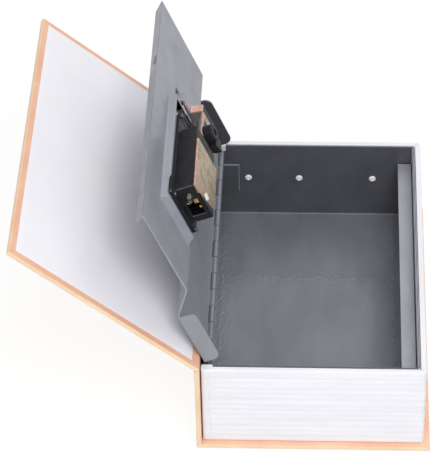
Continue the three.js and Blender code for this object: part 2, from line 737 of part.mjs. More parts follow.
function bezel() {
  const plate = prismZ(
    roundedRect(fieldMiddle - bezelWidth / 2, fieldMiddle + bezelWidth / 2, lockNear + BEZEL_INSET, bezelFar,
      BEZEL_CORNER),
    bezelTop - BEZEL_THICKNESS, bezelTop);
  const slots = [];
  for (let index = 0; index < DIALS; index += 1) {
    slots.push(dialSlot(index, bezelTop - 3, bezelTop + 1));
  }
  slots.push(shankSlot(bezelTop - 3, bezelTop + 1));
  for (const [x, y] of lockScrewPlaces()) {
    slots.push(rodZ(x, y, LOCK_SCREW_SHANK + 0.15, bezelTop - 3, bezelTop + 1, 10));
  }
  piece("lock_bezel", cut(plate, slots), black(), lidGroup);
}

function housing() {
  const flangeRight = fieldMiddle + flangeWidth / 2;
  const flange = prismZ(
    roundedRect(fieldMiddle - flangeWidth / 2, flangeRight, lockNear, flangeFar, FLANGE_CORNER),
    flangeBottom, flangeTop);
  const foot = prismZ(
    roundedRect(flangeRight - FOOT_LENGTH / 2, flangeRight + FOOT_REACH, lockNear, lockNear + FOOT_LENGTH,
      FLANGE_CORNER / 2),
    flangeBottom, flangeTop);
  const body = box(bodyLeft, bodyRight, bodyNear, bodyFar, housingBottom, flangeBottom + 0.5);
  const wall = HOUSING_WALL;
  const plateFar = bodyNear + COVER_PLATE_LENGTH;
  const hollow = [
    box(bodyLeft + wall, bodyRight - wall, bodyNear + wall, bearingNear,
      housingBottom - 1, flangeTop - WELL_ROOF),
    box(bodyLeft + wall, bodyRight - wall, bearingNear + wall, plateFar - wall,
      housingBottom - 1, housingRoof),
    box(bodyLeft + wall, bodyRight - wall, bearingNear + wall, bearingFar,
      housingBottom + HOUSING_FLOOR, housingRoof),
  ];
  const wellHalf = 2 * AXLE + HOUSING_WALL / 2;
  const slots = [
    trainWindow(housingRoof - 1, flangeTop + 1),
    box(lockX - wellHalf, lockX + wellHalf, bodyNear + wall, bearingNear, housingRoof - 1, flangeTop + 1),
  ];
  slots.push(rodY(lockX, dialZ, AXLE + 0.15, bodyNear + wall, bearingFar + wall + 1, 16));
  slots.push(box(bodyLeft + HOUSING_WINDOW_EDGE + wall, buttonX() - BUTTON_RADIUS - 2, bodyNear - 1,
    bodyNear + wall + 1, housingBottom + HOUSING_WINDOW_EDGE, flangeBottom - HOUSING_WINDOW_EDGE / 2));
  slots.push(rodY(buttonX(), buttonZ(), BUTTON_RADIUS + 0.25, bodyNear - 1, bodyNear + wall + 1, 14));
  slots.push(box(fenceLeft - DIAL_SIDE_GAP, bodyRight - wall, bearingFar - 1, bodyFar + 1,
    latchBottom - SLOT_GAP, flangeBottom - 0.1));
  for (const [x, y] of lockScrewPlaces()) {
    slots.push(rodZ(x, y, LOCK_SCREW_HOLE, flangeBottom - 1, flangeTop + 1, 10));
  }
  piece("lock_housing", cut(joined([flange, foot, body]), [...hollow, ...slots]), black(), lidGroup);

  const plateTop = housingBottom - CONTACT;
  const plateBottom = plateTop - COVER_PLATE;
  const plate = box(bodyLeft + 0.4, bodyRight - 0.4, bodyNear + 0.2, plateFar, plateBottom, plateTop);
  const fold = box(bodyLeft - CONTACT - COVER_PLATE, bodyLeft + 1, bodyNear + 0.2, plateFar,
    plateBottom, plateTop);
  const apron = box(bodyLeft - CONTACT - COVER_PLATE, bodyLeft - CONTACT, bodyNear + 0.2, plateFar,
    housingBottom - 1, flangeBottom - 1.2);
  const teeth = [];
  for (let y = bodyNear + 8; y < plateFar - 3; y += 5) {
    teeth.push(box(bodyLeft - 3, bodyLeft - 0.01, y, y + 2.2,
      housingBottom + housingHeight / 3, flangeBottom));
  }
  piece("lock_cover_plate", cut(joined([plate, fold, apron]), teeth), zinc(), lidGroup);

  lockScrewPlaces().forEach(([x, y], index) => {
    const length = bezelTop - 0.3 - flangeBottom + 0.1;
    const mesh = piece(`lock_screw_${index + 1}`, turned([
      [0, 0],
      [LOCK_SCREW_SHANK, 0],
      [LOCK_SCREW_SHANK, length],
      [LOCK_SCREW_HEAD, length],
      [LOCK_SCREW_HEAD * 0.8, length + 0.9],
      [0, length + 0.9],
    ], 12), steel(), lidGroup);
    mesh.rotation.x = -Math.PI / 2;
    mesh.position.set(x, y, bezelTop - 0.3);
  });
}

function buttonX() {
  return fieldMiddle + housingWidth / 4;
}

function buttonZ() {
  return housingBottom + housingHeight / 2;
}

function dialRing(index) {
  const half = DIAL_WIDTH / 2;
  const ring = toSolid(turned([
    [SLEEVE_RADIUS + RUNNING_GAP, -half],
    [DIAL_RADIUS - 0.5, -half],
    [DIAL_RADIUS, -half + 0.5],
    [DIAL_RADIUS, half - 0.5],
    [DIAL_RADIUS - 0.5, half],
    [SLEEVE_RADIUS + RUNNING_GAP, half],
    [SLEEVE_RADIUS + RUNNING_GAP, -half],
  ], 40));
  const notches = [];
  for (let step = 0; step < 10; step += 1) {
    const angle = step * Math.PI / 5;
    const x = DIAL_RADIUS * Math.cos(angle);
    const z = DIAL_RADIUS * Math.sin(angle);
    notches.push(rodY(x, z, 0.45, -half - 1, half + 1, 6));
  }
  const mesh = piece(`dial_${index + 1}`, cut(ring, notches), black(), lidGroup);
  mesh.position.set(lockX, dialY(index), dialZ);
}

function dialSleeve(index) {
  const near = -DIAL_PITCH / 2 + 0.2;
  const far = DIAL_PITCH / 2 - 0.2;
  const camNear = DIAL_WIDTH / 2 + 0.3;
  const sleeve = toSolid(turned([
    [AXLE + 0.2, near],
    [SLEEVE_RADIUS, near],
    [SLEEVE_RADIUS, camNear],
    [CAM_RADIUS, camNear],
    [CAM_RADIUS, camNear + CAM_WIDTH],
    [SLEEVE_RADIUS, camNear + CAM_WIDTH],
    [SLEEVE_RADIUS, far],
    [AXLE + 0.2, far],
    [AXLE + 0.2, near],
  ], 20));
  const gate = box(SLEEVE_RADIUS - 0.1, CAM_RADIUS + 1, camNear - 0.1, camNear + CAM_WIDTH + 0.1, -0.9, 0.9);
  const mesh = piece(`dial_sleeve_${index + 1}`, sleeve.subtract(gate), brass(), lidGroup);
  mesh.position.set(lockX, dialY(index), dialZ);
}

// The least gap between the wire's surfaces, over all pairs of points at least half a turn apart
function gapOfCoil(points, radius, wire, stepsPerTurn) {
  let least = Infinity;
  const centres = points.map(([angle, y]) => (
    new THREE.Vector3(radius * Math.cos(angle), y, radius * Math.sin(angle))));
  for (let first = 0; first < centres.length; first += 1) {
    for (let second = first + stepsPerTurn / 2; second < centres.length; second += 1) {
      least = Math.min(least, centres[first].distanceTo(centres[second]) - 2 * wire);
    }
  }
  return least;
}

// A coil of round wire about the Y direction, cut square at both ends
function coilSpring(x, z, radius, wire, y0, y1, turns) {
  const sides = 5;
  const stepsPerTurn = 8;
  const steps = turns * stepsPerTurn;
  const points = [];
  for (let step = 0; step <= steps; step += 1) {
    const angle = 2 * Math.PI * step / stepsPerTurn;
    const y = y0 + wire + (y1 - y0 - 2 * wire) * step / steps;
    points.push([angle, y]);
  }
  const least = gapOfCoil(points, radius, wire, stepsPerTurn);
  console.log(`axle spring, least gap to itself ${least.toFixed(2)} mm`);
  const positions = [];
  const faces = [];
  points.forEach(([angle, y]) => {
    for (let side = 0; side < sides; side += 1) {
      const around = 2 * Math.PI * side / sides;
      const r = radius + wire * Math.cos(around);
      positions.push(x + r * Math.cos(angle), y + wire * Math.sin(around), z + r * Math.sin(angle));
    }
  });
  for (let step = 0; step < steps; step += 1) {
    for (let side = 0; side < sides; side += 1) {
      const a = step * sides + side;
      const b = step * sides + (side + 1) % sides;
      faces.push(a, b, a + sides, b, b + sides, a + sides);
    }
  }
  for (let side = 1; side < sides - 1; side += 1) {
    faces.push(0, side + 1, side);
    const last = steps * sides;
    faces.push(last, last + side, last + side + 1);
  }
  const geometry = new THREE.BufferGeometry();
  geometry.setAttribute("position", new THREE.Float32BufferAttribute(positions, 3));
  geometry.setIndex(faces);
  return geometry;
}

function dialTrain() {
  for (let index = 0; index < DIALS; index += 1) {
    dialRing(index);
    dialSleeve(index);
  }
  const axleNear = bodyNear + HOUSING_WALL + 2.2;
  piece("dial_axle", rodY(lockX, dialZ, AXLE, axleNear, bodyFar + 0.5, 16), steel(), lidGroup);
  const washer = rodY(lockX, dialZ, AXLE * 2, axleNear + 0.4, axleNear + 1.6, 16)
    .subtract(rodY(lockX, dialZ, AXLE + 0.1, axleNear - 1, axleNear + 3, 16));
  piece("axle_washer", washer, ivory(), lidGroup);
  piece("axle_spring",
    coilSpring(lockX, dialZ, AXLE + 0.4 + WIRE, WIRE, axleNear + 1.9, bearingNear - 0.2, 6),
    brass(), lidGroup);

  const left = bodyLeft + HOUSING_WALL;
  const touch = lockX - DIAL_RADIUS - 0.35;
  const low = housingBottom + HOUSING_FLOOR + 0.3;
  const base = box(left + CONTACT, left + 0.65, bearingNear + HOUSING_WALL + 0.2, bearingFar - 0.2,
    low, low + 1.8);
  const fingers = [];
  for (let index = 0; index < DIALS; index += 1) {
    const line = [
      [left + 0.35, low + 0.8],
      [left + 0.35, dialZ - 2.6],
      [touch - 0.45, dialZ],
      [left + 0.9, housingRoof - 0.5],
    ];
    fingers.push(prismY(sheetOutline(line, 0.5), dialY(index) - 1.4, dialY(index) + 1.4));
  }
  piece("detent_spring", joined([base, ...fingers]), steel(), lidGroup);

  const pin = turned([
    [0, 0],
    [BUTTON_RADIUS, 0],
    [BUTTON_RADIUS, HOUSING_WALL + 2.2],
    [BUTTON_RADIUS + 0.9, HOUSING_WALL + 2.2],
    [BUTTON_RADIUS + 0.9, HOUSING_WALL + 4.4],
    [0, HOUSING_WALL + 4.4],
  ], 14);
  const button = piece("code_change_button", pin, ivory(), lidGroup);
  button.position.set(buttonX(), bodyNear - BUTTON_TRAVEL - 0.4, buttonZ());
}

// Latch group: everything here slides together towards the fore edge

// The plate under the lock, its near end rounded, with a tongue that rises through the lid's sheet.
// The tongue's ear slides over the sheet and covers the far edge of the slot.
function latchPlate() {
  const left = thumbX - LATCH_LEFT_REACH;
  const middle = (left + latchRight) / 2;
  const base = new THREE.Shape();
  base.moveTo(left, tongueFar);
  base.lineTo(left, thumbY);
  base.quadraticCurveTo(left + 1, latchNear + 0.5, middle, latchNear);
  base.quadraticCurveTo(latchRight - 1, latchNear + 0.5, latchRight, thumbY - SHANK / 2);
  base.lineTo(latchRight, tongueFar);
  const baseZ = latchTop - LATCH_THICKNESS / 2;
  const raisedZ = panelBottom - LATCH_RISE_GAP;
  const line = [
    [middle, baseZ],
    [latchRight + 0.5, baseZ],
    [latchRight + 0.5 + LATCH_CRANK_RUN, raisedZ],
    [latchPassX, raisedZ],
    [latchPassX + LATCH_PASS_RUN, tongueBottom + LATCH_THICKNESS / 2],
    [latchTip, tongueBottom + LATCH_THICKNESS / 2],
  ];
  const tongue = prismY(sheetOutline(line, LATCH_THICKNESS), tongueNear, tongueFar);
  const earLeft = latchPassX + LATCH_PASS_RUN - TONGUE_EAR_LENGTH / 3;
  const ear = box(earLeft, earLeft + TONGUE_EAR_LENGTH, tongueFar - 1, tongueFar + TONGUE_EAR,
    tongueBottom, tongueTop);
  const knobHole = rodZ(thumbX, thumbY, 0.9, latchBottom - 1, latchTop + 1, 12);
  const plate = joined([prismZ(base, latchBottom, latchTop), tongue, ear]).subtract(knobHole);
  piece("latch_plate", plate, zinc(), lidGroup);
}

// The fence bar runs beside the dials, and its teeth reach between them to the cams.
// Its arm lies on the latch plate.
function fenceBar() {
  const fenceRight = fenceLeft + FENCE;
  const armNear = bodyFar + LATCH_TRAVEL;
  const armFar = armNear + LATCH_TRAVEL;
  const armLow = latchTop + CONTACT;
  const bar = box(fenceLeft, fenceRight, dialsNear + 0.5, armFar, latchBottom, flangeBottom - SLOT_GAP);
  const arm = box(thumbX - SHANK / 2, fenceRight, armNear, armFar, armLow, armLow + FENCE);
  const tab = box(thumbX - SHANK / 2, latchRight - SHANK / 2, armNear, thumbY - SHANK / 2 - SLOT_GAP,
    armLow, armLow + FENCE);
  const teeth = [];
  for (let index = 0; index < DIALS; index += 1) {
    const y = dialY(index) + DIAL_WIDTH / 2 + 0.4;
    teeth.push(box(lockX + CAM_RADIUS + 0.45, fenceRight, y, y + CAM_WIDTH - 0.2,
      dialZ - 0.7, dialZ + 0.7));
  }
  piece("fence_bar", joined([bar, arm, tab, ...teeth]), black(), lidGroup);
}

function thumbSlide() {
  const capLow = bezelTop + 0.2;
  const capTop = capLow + THUMB_HEIGHT;
  const cap = prismZ(
    roundedRect(thumbX - THUMB_LENGTH / 2, thumbX + THUMB_LENGTH / 2,
      thumbY - THUMB_WIDTH / 2, thumbY + THUMB_WIDTH / 2, 1.5),
    capLow, capTop);
  const grips = [];
  for (let x = thumbX - THUMB_LENGTH / 2 + 1.4; x < thumbX + THUMB_LENGTH / 2 - 1.4; x += 1.8) {
    grips.push(box(x, x + 0.7, thumbY - THUMB_WIDTH, thumbY + THUMB_WIDTH, capTop - 0.5, capTop + 1));
  }
  const shank = box(thumbX - SHANK / 2, thumbX + SHANK / 2, thumbY - SHANK / 2, thumbY + SHANK / 2,
    latchTop + 0.1, capLow + 0.3);
  const hole = rodZ(thumbX, thumbY, 0.9, latchTop - 1, latchTop + 2.6, 12);
  piece("thumb_slide", cut(cap, grips).add(shank).subtract(hole), black(), lidGroup);

  const knob = piece("slide_knob", turned([
    [0, 1.5],
    [1.8, 1.5],
    [1.8, 0],
    [KNOB - 0.8, 0],
    [KNOB, 0.8],
    [KNOB, KNOB_HEIGHT],
    [0.7, KNOB_HEIGHT],
    [0.7, KNOB_HEIGHT + LATCH_THICKNESS + 2],
    [0, KNOB_HEIGHT + LATCH_THICKNESS + 2],
  ], 24), black(), lidGroup);
  knob.rotation.x = Math.PI / 2;
  knob.position.set(thumbX, thumbY, latchBottom - CONTACT - KNOB_HEIGHT);
}

// The strap that holds the tongue down on the lid's outer side
function latchStrap() {
  const left = latchTip - STRAP_BACK - STRAP_WIDTH;
  const right = left + STRAP_WIDTH;
  const near = tongueNear - TONGUE_SIDE_GAP - STRAP_THICKNESS;
  const far = tongueFar + TONGUE_SIDE_GAP + STRAP_THICKNESS;
  const low = panelTop + CONTACT;
  const bridge = tongueTop + RUNNING_GAP;
  const top = bridge + STRAP_THICKNESS;
  piece("latch_guide_strap", joined([
    box(left, right, near, far, bridge, top),
    box(left, right, near, near + STRAP_THICKNESS, low, top),
    box(left, right, far - STRAP_THICKNESS, far, low, top),
    box(left, right, far - STRAP_THICKNESS, far + 3, low, low + STRAP_THICKNESS),
  ]), zinc(), lidGroup);
}

function lid() {
  lidGroup.position.set(hingeX, 0, hingeZ);
  lidGroup.rotation.y = -LID_OPEN_DEG * Math.PI / 180;
  lidPanel();
  bezel();
  housing();
  dialTrain();
  latchPlate();
  fenceBar();
  thumbSlide();
  latchStrap();
}

backCover();
spine();
frontCover();
pageBlock();
tray();
wallRivets();
strikeLedge();
boxLeaf();
lid();

export default book;
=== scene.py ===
import json
import math

import bmesh
import bpy
from mathutils import Matrix, Vector, noise

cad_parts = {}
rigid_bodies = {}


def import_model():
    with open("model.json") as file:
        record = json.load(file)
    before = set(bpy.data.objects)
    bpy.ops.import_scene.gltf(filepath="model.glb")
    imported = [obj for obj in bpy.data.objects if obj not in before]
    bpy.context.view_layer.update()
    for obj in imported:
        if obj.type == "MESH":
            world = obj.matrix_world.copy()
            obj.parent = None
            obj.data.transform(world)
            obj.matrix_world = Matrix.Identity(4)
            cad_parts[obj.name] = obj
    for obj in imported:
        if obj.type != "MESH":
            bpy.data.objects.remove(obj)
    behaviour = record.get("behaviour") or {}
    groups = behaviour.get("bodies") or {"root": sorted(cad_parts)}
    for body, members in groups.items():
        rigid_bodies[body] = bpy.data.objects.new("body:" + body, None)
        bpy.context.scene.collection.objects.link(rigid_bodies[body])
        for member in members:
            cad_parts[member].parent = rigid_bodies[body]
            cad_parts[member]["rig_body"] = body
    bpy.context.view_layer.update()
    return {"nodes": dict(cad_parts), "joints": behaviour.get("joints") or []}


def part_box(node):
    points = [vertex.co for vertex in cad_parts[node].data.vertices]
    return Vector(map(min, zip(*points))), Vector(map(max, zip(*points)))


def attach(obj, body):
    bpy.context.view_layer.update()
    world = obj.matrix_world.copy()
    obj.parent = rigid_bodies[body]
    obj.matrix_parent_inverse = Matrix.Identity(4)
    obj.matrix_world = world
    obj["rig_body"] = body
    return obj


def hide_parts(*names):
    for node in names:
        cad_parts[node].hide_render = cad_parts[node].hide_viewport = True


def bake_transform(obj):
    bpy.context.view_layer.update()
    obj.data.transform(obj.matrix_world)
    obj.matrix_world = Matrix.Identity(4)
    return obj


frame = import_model()

MM = 0.001
NODES = frame["nodes"]
JOINTS = {joint["name"]: joint for joint in frame["joints"]}

# The camera that was fitted to the photograph, whose frame is 434 by 465
FRAME_HEIGHT = 465
FOCAL_PIXELS = 2567.0
SENSOR = 36.0
CAMERA_PLACE = (0.00581, -0.96650, 0.92224)
YAW, PITCH, ROLL = math.radians(3.291), math.radians(41.601), math.radians(-1.542)


def hinge_matrix(joint):
    """A leaf's own frame in millimetres: x from the hinge to the free edge, z up, as it lies shut."""
    place = Vector(JOINTS[joint]["pos_m"])
    turn = -math.radians(max(JOINTS[joint]["range_deg"], key=abs))
    return Matrix.Translation(place) @ Matrix.Rotation(turn, 4, "Y") @ Matrix.Scale(MM, 4)


COVER = hinge_matrix("cover_hinge")
LID = hinge_matrix("lid_hinge")
CASE = Matrix.Scale(MM, 4)


# Materials

def colour(red, green, blue):
    return (red, green, blue, 1.0)


# Places and reaches of the coarse orange peel on the tray's floor, where lighter specks are painted as
# glints, in millimetres
PEEL_MIDDLE = (30.7, 9.0)
PEEL_LEFT = (-49.0, 7.0)
PEEL_RIGHT = (40.3, 5.0)


class Finish:
    """A procedural material: mottled colour, uneven gloss and a chain of reliefs, all in object space."""

    def __init__(self, name, metallic=0.0, specular=0.5, coat=0.0):
        self.material = bpy.data.materials.new(name)
        self.material.use_nodes = True
        self.tree = self.material.node_tree
        self.surface = self.tree.nodes["Principled BSDF"]
        self.surface.inputs["Metallic"].default_value = metallic
        self.surface.inputs["Specular IOR Level"].default_value = specular
        self.surface.inputs["Coat Weight"].default_value = coat
        self.coords = self.tree.nodes.new("ShaderNodeTexCoord")
        self.normal = None

    def link(self, source, target):
        self.tree.links.new(source, target)

    def space(self, scale, stretch=(1, 1, 1), offset=0.0):
        mapping = self.tree.nodes.new("ShaderNodeMapping")
        mapping.inputs["Scale"].default_value = [scale * part for part in stretch]
        mapping.inputs["Location"].default_value = (offset, offset * 1.7, offset * 0.6)
        self.link(self.coords.outputs["Object"], mapping.inputs["Vector"])
        return mapping.outputs["Vector"]

    def noise(self, scale, detail=3.0, stretch=(1, 1, 1), offset=0.0, distortion=0.0):
        node = self.tree.nodes.new("ShaderNodeTexNoise")
        node.inputs["Scale"].default_value = 1.0
        node.inputs["Detail"].default_value = detail
        node.inputs["Distortion"].default_value = distortion
        self.link(self.space(scale, stretch, offset), node.inputs["Vector"])
        return node.outputs["Fac"]

    def ramp(self, factor, stops):
        node = self.tree.nodes.new("ShaderNodeValToRGB")
        elements = node.color_ramp.elements
        while len(elements) < len(stops):
            elements.new(0.5)
        for element, (place, value) in zip(elements, stops):
            element.position = place
            element.color = value
        self.link(factor, node.inputs["Fac"])
        return node.outputs["Color"]

    def sum_of(self, operation, first, second, clamp=False):
        node = self.tree.nodes.new("ShaderNodeMath")
        node.operation = operation
        node.use_clamp = clamp
        for value, socket in zip((first, second), node.inputs):
            if isinstance(value, float):
                socket.default_value = value
            else:
                self.link(value, socket)
        return node.outputs[0]

    def times(self, first, second):
        return self.sum_of("MULTIPLY", first, second)

    def larger(self, first, second):
        return self.sum_of("MAXIMUM", first, second)

    def band(self, axis, centre, reach):
        """One at a place along an axis, falling to nought at the reach from it, in millimetres."""
        split = self.tree.nodes.new("ShaderNodeSeparateXYZ")
        self.link(self.coords.outputs["Object"], split.inputs["Vector"])
        away = self.sum_of("ABSOLUTE", self.sum_of("SUBTRACT", split.outputs[axis], centre * MM), 0.0)
        return self.sum_of("SUBTRACT", 1.0, self.sum_of("DIVIDE", away, reach * MM), clamp=True)

    def mix(self, factor, first, second):
        node = self.tree.nodes.new("ShaderNodeMix")
        node.data_type = "RGBA"
        self.link(factor, node.inputs["Factor"])
        self.link(first, node.inputs["A"])
        self.link(second, node.inputs["B"])
        return node.outputs["Result"]

    def paint(self, stops, scale, **how):
        self.link(self.ramp(self.noise(scale, **how), stops), self.surface.inputs["Base Color"])
        return self

    def gloss(self, low, high, scale, **how):
        node = self.tree.nodes.new("ShaderNodeMapRange")
        node.inputs["From Min"].default_value = 0.3
        node.inputs["From Max"].default_value = 0.7
        node.inputs["To Min"].default_value = low
        node.inputs["To Max"].default_value = high
        self.link(self.noise(scale, **how), node.inputs["Value"])
        self.link(node.outputs["Result"], self.surface.inputs["Roughness"])
        return self

    def relief(self, height, strength, depth):
        node = self.tree.nodes.new("ShaderNodeBump")
        node.inputs["Strength"].default_value = strength
        node.inputs["Distance"].default_value = depth * MM
        self.link(height, node.inputs["Height"])
        if self.normal:
            self.link(self.normal, node.inputs["Normal"])
        self.normal = node.outputs["Normal"]
        self.link(self.normal, self.surface.inputs["Normal"])
        return self


def two_tone(first, second, low=0.35, high=0.65):
    return [(low, colour(*first)), (high, colour(*second))]


def hammered_paint(name, dark, light, peel=0.10, low=0.30, high=0.44):
    finish = Finish(name, metallic=0.1, specular=0.5)
    finish.paint(two_tone(dark, light), 60, detail=5, stretch=(1, 0.4, 1))
    finish.gloss(low, high, 90)
    finish.relief(finish.noise(520, detail=2), 0.5, peel)
    finish.relief(finish.noise(1500, detail=1), 0.25, 0.03)
    return finish.material


def floor_paint():
    """The tray's floor, a darker copy of the grey paint as painted shade, its orange peel coarser along its
    sides and in a band across the middle, where lighter specks are painted as glints.
    """
    finish = Finish("grey_paint_floor_painted_shade_and_glints", metallic=0.1, specular=0.5)
    finish.relief(finish.noise(620, detail=2), 0.45, 0.10)
    finish.relief(finish.noise(1500, detail=1), 0.25, 0.03)
    band = finish.larger(finish.band("Y", *PEEL_MIDDLE),
                         finish.larger(finish.band("X", *PEEL_LEFT), finish.band("X", *PEEL_RIGHT)))
    peel = finish.noise(900, detail=1, stretch=(1, 0.8, 1))
    coarse = finish.times(peel, band)
    finish.relief(coarse, 1.0, 0.55)
    base = finish.ramp(finish.noise(60, detail=5, stretch=(1, 0.4, 1)),
                       two_tone((0.178, 0.184, 0.212), (0.218, 0.225, 0.258)))
    # Lighter specks in the coarse places are painted glints
    painted_glint_mask = finish.ramp(coarse, [(0.50, colour(0, 0, 0)), (0.72, colour(0.6, 0.6, 0.6))])
    glint = finish.ramp(peel, two_tone((0.26, 0.26, 0.30), (0.34, 0.34, 0.39)))
    finish.link(finish.mix(painted_glint_mask, base, glint), finish.surface.inputs["Base Color"])
    return finish.material


def plastic(name, dark, light, low, high, depth=0.03, specular=0.45):
    finish = Finish(name, specular=specular)
    finish.paint(two_tone(dark, light), 160, detail=4)
    finish.gloss(low, high, 220)
    finish.relief(finish.noise(2600, detail=2), 0.3, depth)
    return finish.material


def bare_metal(name, dark, light, low, high, stretch=(1, 1, 1), metallic=1.0):
    finish = Finish(name, metallic=metallic)
    finish.paint(two_tone(dark, light), 300, detail=4, stretch=stretch)
    finish.gloss(low, high, 700, stretch=stretch)
    finish.relief(finish.noise(1800, detail=3, stretch=stretch), 0.25, 0.02)
    return finish.material


def zinc_plate():
    finish = Finish("yellow_zinc", metallic=0.8, specular=0.5)
    stops = [
        (0.32, colour(0.17, 0.19, 0.10)),
        (0.43, colour(0.30, 0.25, 0.14)),
        (0.52, colour(0.43, 0.32, 0.22)),
        (0.60, colour(0.40, 0.24, 0.21)),
        (0.70, colour(0.26, 0.25, 0.15)),
    ]
    finish.paint(stops, 150, detail=6, distortion=0.9)
    finish.gloss(0.26, 0.46, 400)
    finish.relief(finish.noise(1500, detail=3), 0.3, 0.02)
    return finish.material


def cover_paper(name, dark, light):
    finish = Finish(name, specular=0.35)
    base = finish.ramp(finish.noise(45, detail=6), two_tone(dark, light))
    rub = finish.ramp(finish.noise(620, detail=5), [(0.60, colour(0, 0, 0)), (0.80, colour(0.5, 0.5, 0.5))])
    pale = finish.ramp(finish.noise(30), two_tone((0.93, 0.78, 0.62), (0.95, 0.82, 0.68)))
    finish.link(finish.mix(rub, base, pale), finish.surface.inputs["Base Color"])
    finish.gloss(0.48, 0.66, 150)
    finish.relief(finish.noise(1400, detail=4), 0.35, 0.04)
    finish.relief(finish.noise(90, detail=2), 0.3, 0.12)
    return finish.material


def white_paper():
    finish = Finish("endpaper_white", specular=0.25)
    finish.paint(two_tone((0.93, 0.915, 0.955), (0.955, 0.94, 0.98)), 40, detail=6)
    finish.gloss(0.62, 0.80, 120)
    finish.relief(finish.noise(1700, detail=5, stretch=(1, 0.5, 1)), 0.25, 0.03)
    finish.relief(finish.noise(25, detail=2), 0.25, 0.20)
    return finish.material


def page_white():
    finish = Finish("page_white", specular=0.4)
    finish.paint(two_tone((0.825, 0.825, 0.87), (0.87, 0.87, 0.91)), 70, detail=5, stretch=(0.3, 0.3, 2))
    finish.gloss(0.42, 0.58, 110)
    finish.relief(finish.noise(900, detail=4, stretch=(0.12, 0.12, 1)), 0.4, 0.05)
    return finish.material


PEACH = cover_paper("cover_paper_peach", (0.86, 0.48, 0.32), (0.92, 0.56, 0.39))
CREAM = cover_paper("cover_paper_cream", (0.84, 0.62, 0.40), (0.90, 0.70, 0.49))
ENDPAPER = white_paper()
PAGES = page_white()
GREY = hammered_paint("grey_paint", (0.250, 0.260, 0.296), (0.290, 0.302, 0.342))
# Copies of the one grey paint with light and shade painted in: the hinge and wall copies are darker as
# painted shade, the ledge and edge copies lighter as painted light, and the shade copy is painted shade
GREY_HINGE_PAINTED_SHADE = hammered_paint("grey_paint_hinge_painted_shade", (0.160, 0.166, 0.190), (0.195, 0.203, 0.230), 0.06)
GREY_WALLS_PAINTED_SHADE = hammered_paint("grey_paint_walls_painted_shade", (0.083, 0.085, 0.097), (0.104, 0.107, 0.121), 0.08)
GREY_FLOOR_PAINTED_SHADE_AND_GLINTS = floor_paint()
GREY_LEDGE_PAINTED_LIGHT = hammered_paint("grey_paint_ledge_painted_light", (0.325, 0.33, 0.365), (0.375, 0.38, 0.42), 0.07)
GREY_EDGE_PAINTED_LIGHT = hammered_paint("grey_paint_edge_painted_light", (0.55, 0.55, 0.60), (0.62, 0.62, 0.67), 0.07)
GREY_SHADE = hammered_paint("grey_paint_shade", (0.050, 0.050, 0.058), (0.070, 0.070, 0.080), 0.05, 0.5, 0.65)
BLACK = plastic("black_plastic", (0.005, 0.005, 0.007), (0.012, 0.012, 0.015), 0.45, 0.62, specular=0.28)
# A lighter black, a painted highlight along the lock housing's near edges
BLACK_PAINTED_HIGHLIGHT = plastic("black_plastic_painted_highlight", (0.07, 0.07, 0.08), (0.11, 0.11, 0.12), 0.34, 0.5)
IVORY = plastic("ivory_plastic", (0.78, 0.77, 0.72), (0.86, 0.85, 0.80), 0.35, 0.5)
# Ivory painted dark, for the code button and the axle washer
DARKENED_IVORY = plastic("darkened_ivory", (0.16, 0.14, 0.11), (0.26, 0.22, 0.17), 0.4, 0.55)
STEEL = bare_metal("bright_steel", (0.60, 0.61, 0.63), (0.78, 0.79, 0.80), 0.22, 0.40)
# Pale, hardly metallic steel for the latch's thin strip, its paleness a painted highlight
STRIP_STEEL_PAINTED_HIGHLIGHT = bare_metal("strip_steel_painted_highlight", (0.74, 0.78, 0.80), (0.88, 0.92, 0.94), 0.35, 0.5, metallic=0.2)
DARK_STEEL = bare_metal("dark_steel", (0.045, 0.045, 0.05), (0.10, 0.10, 0.11), 0.30, 0.45)
# Near-white and not metallic, so that the aluminium rivet heads show a painted sheen in place of their
# reflection
RIVET_PAINTED_SHEEN = bare_metal("rivet_aluminium_painted_sheen", (0.93, 0.93, 0.94), (0.98, 0.98, 0.99), 0.36, 0.52, metallic=0.0)
BRASS = bare_metal("brass", (0.42, 0.25, 0.06), (0.66, 0.44, 0.16), 0.22, 0.38)
ZINC = zinc_plate()
RAW_EDGE = bare_metal("raw_edge", (0.62, 0.34, 0.28), (0.86, 0.52, 0.44), 0.4, 0.6, metallic=0.4)
NUMBER_WHITE = plastic("number_white", (0.74, 0.74, 0.72), (0.86, 0.86, 0.84), 0.5, 0.65)


# Building pieces

def add_piece(name, mesh, body, materials, replaces=()):
    for material in materials:
        mesh.materials.append(material)
    piece = bpy.data.objects.new(name, mesh)
    bpy.context.scene.collection.objects.link(piece)
    even = piece.modifiers.new("even_shading", "WEIGHTED_NORMAL")
    even.keep_sharp = True
    even.weight = 100
    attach(piece, body)
    if replaces:
        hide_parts(*replaces)


def mesh_from(bm, name, crease=30):
    """The bmesh as a mesh, smooth but for its edges sharper than the crease angle."""
    bm.normal_update()
    for face in bm.faces:
        face.smooth = True
    for edge in bm.edges:
        if len(edge.link_faces) == 2 and edge.calc_face_angle() > math.radians(crease):
            edge.smooth = False
    mesh = bpy.data.meshes.new(name)
    bm.to_mesh(mesh)
    bm.free()
    return mesh


def mean_width(face):
    return 2 * face.calc_area() / face.calc_perimeter()


def round_edges(bm, edges, radius, segments):
    if edges:
        bmesh.ops.bevel(bm, geom=edges, offset=radius, offset_type="OFFSET", segments=segments,
                        profile=0.5, affect="EDGES", clamp_overlap=False)


def sharp_edges(bm, angle=25):
    return [edge for edge in bm.edges
            if len(edge.link_faces) == 2 and edge.calc_face_angle() > math.radians(angle)]


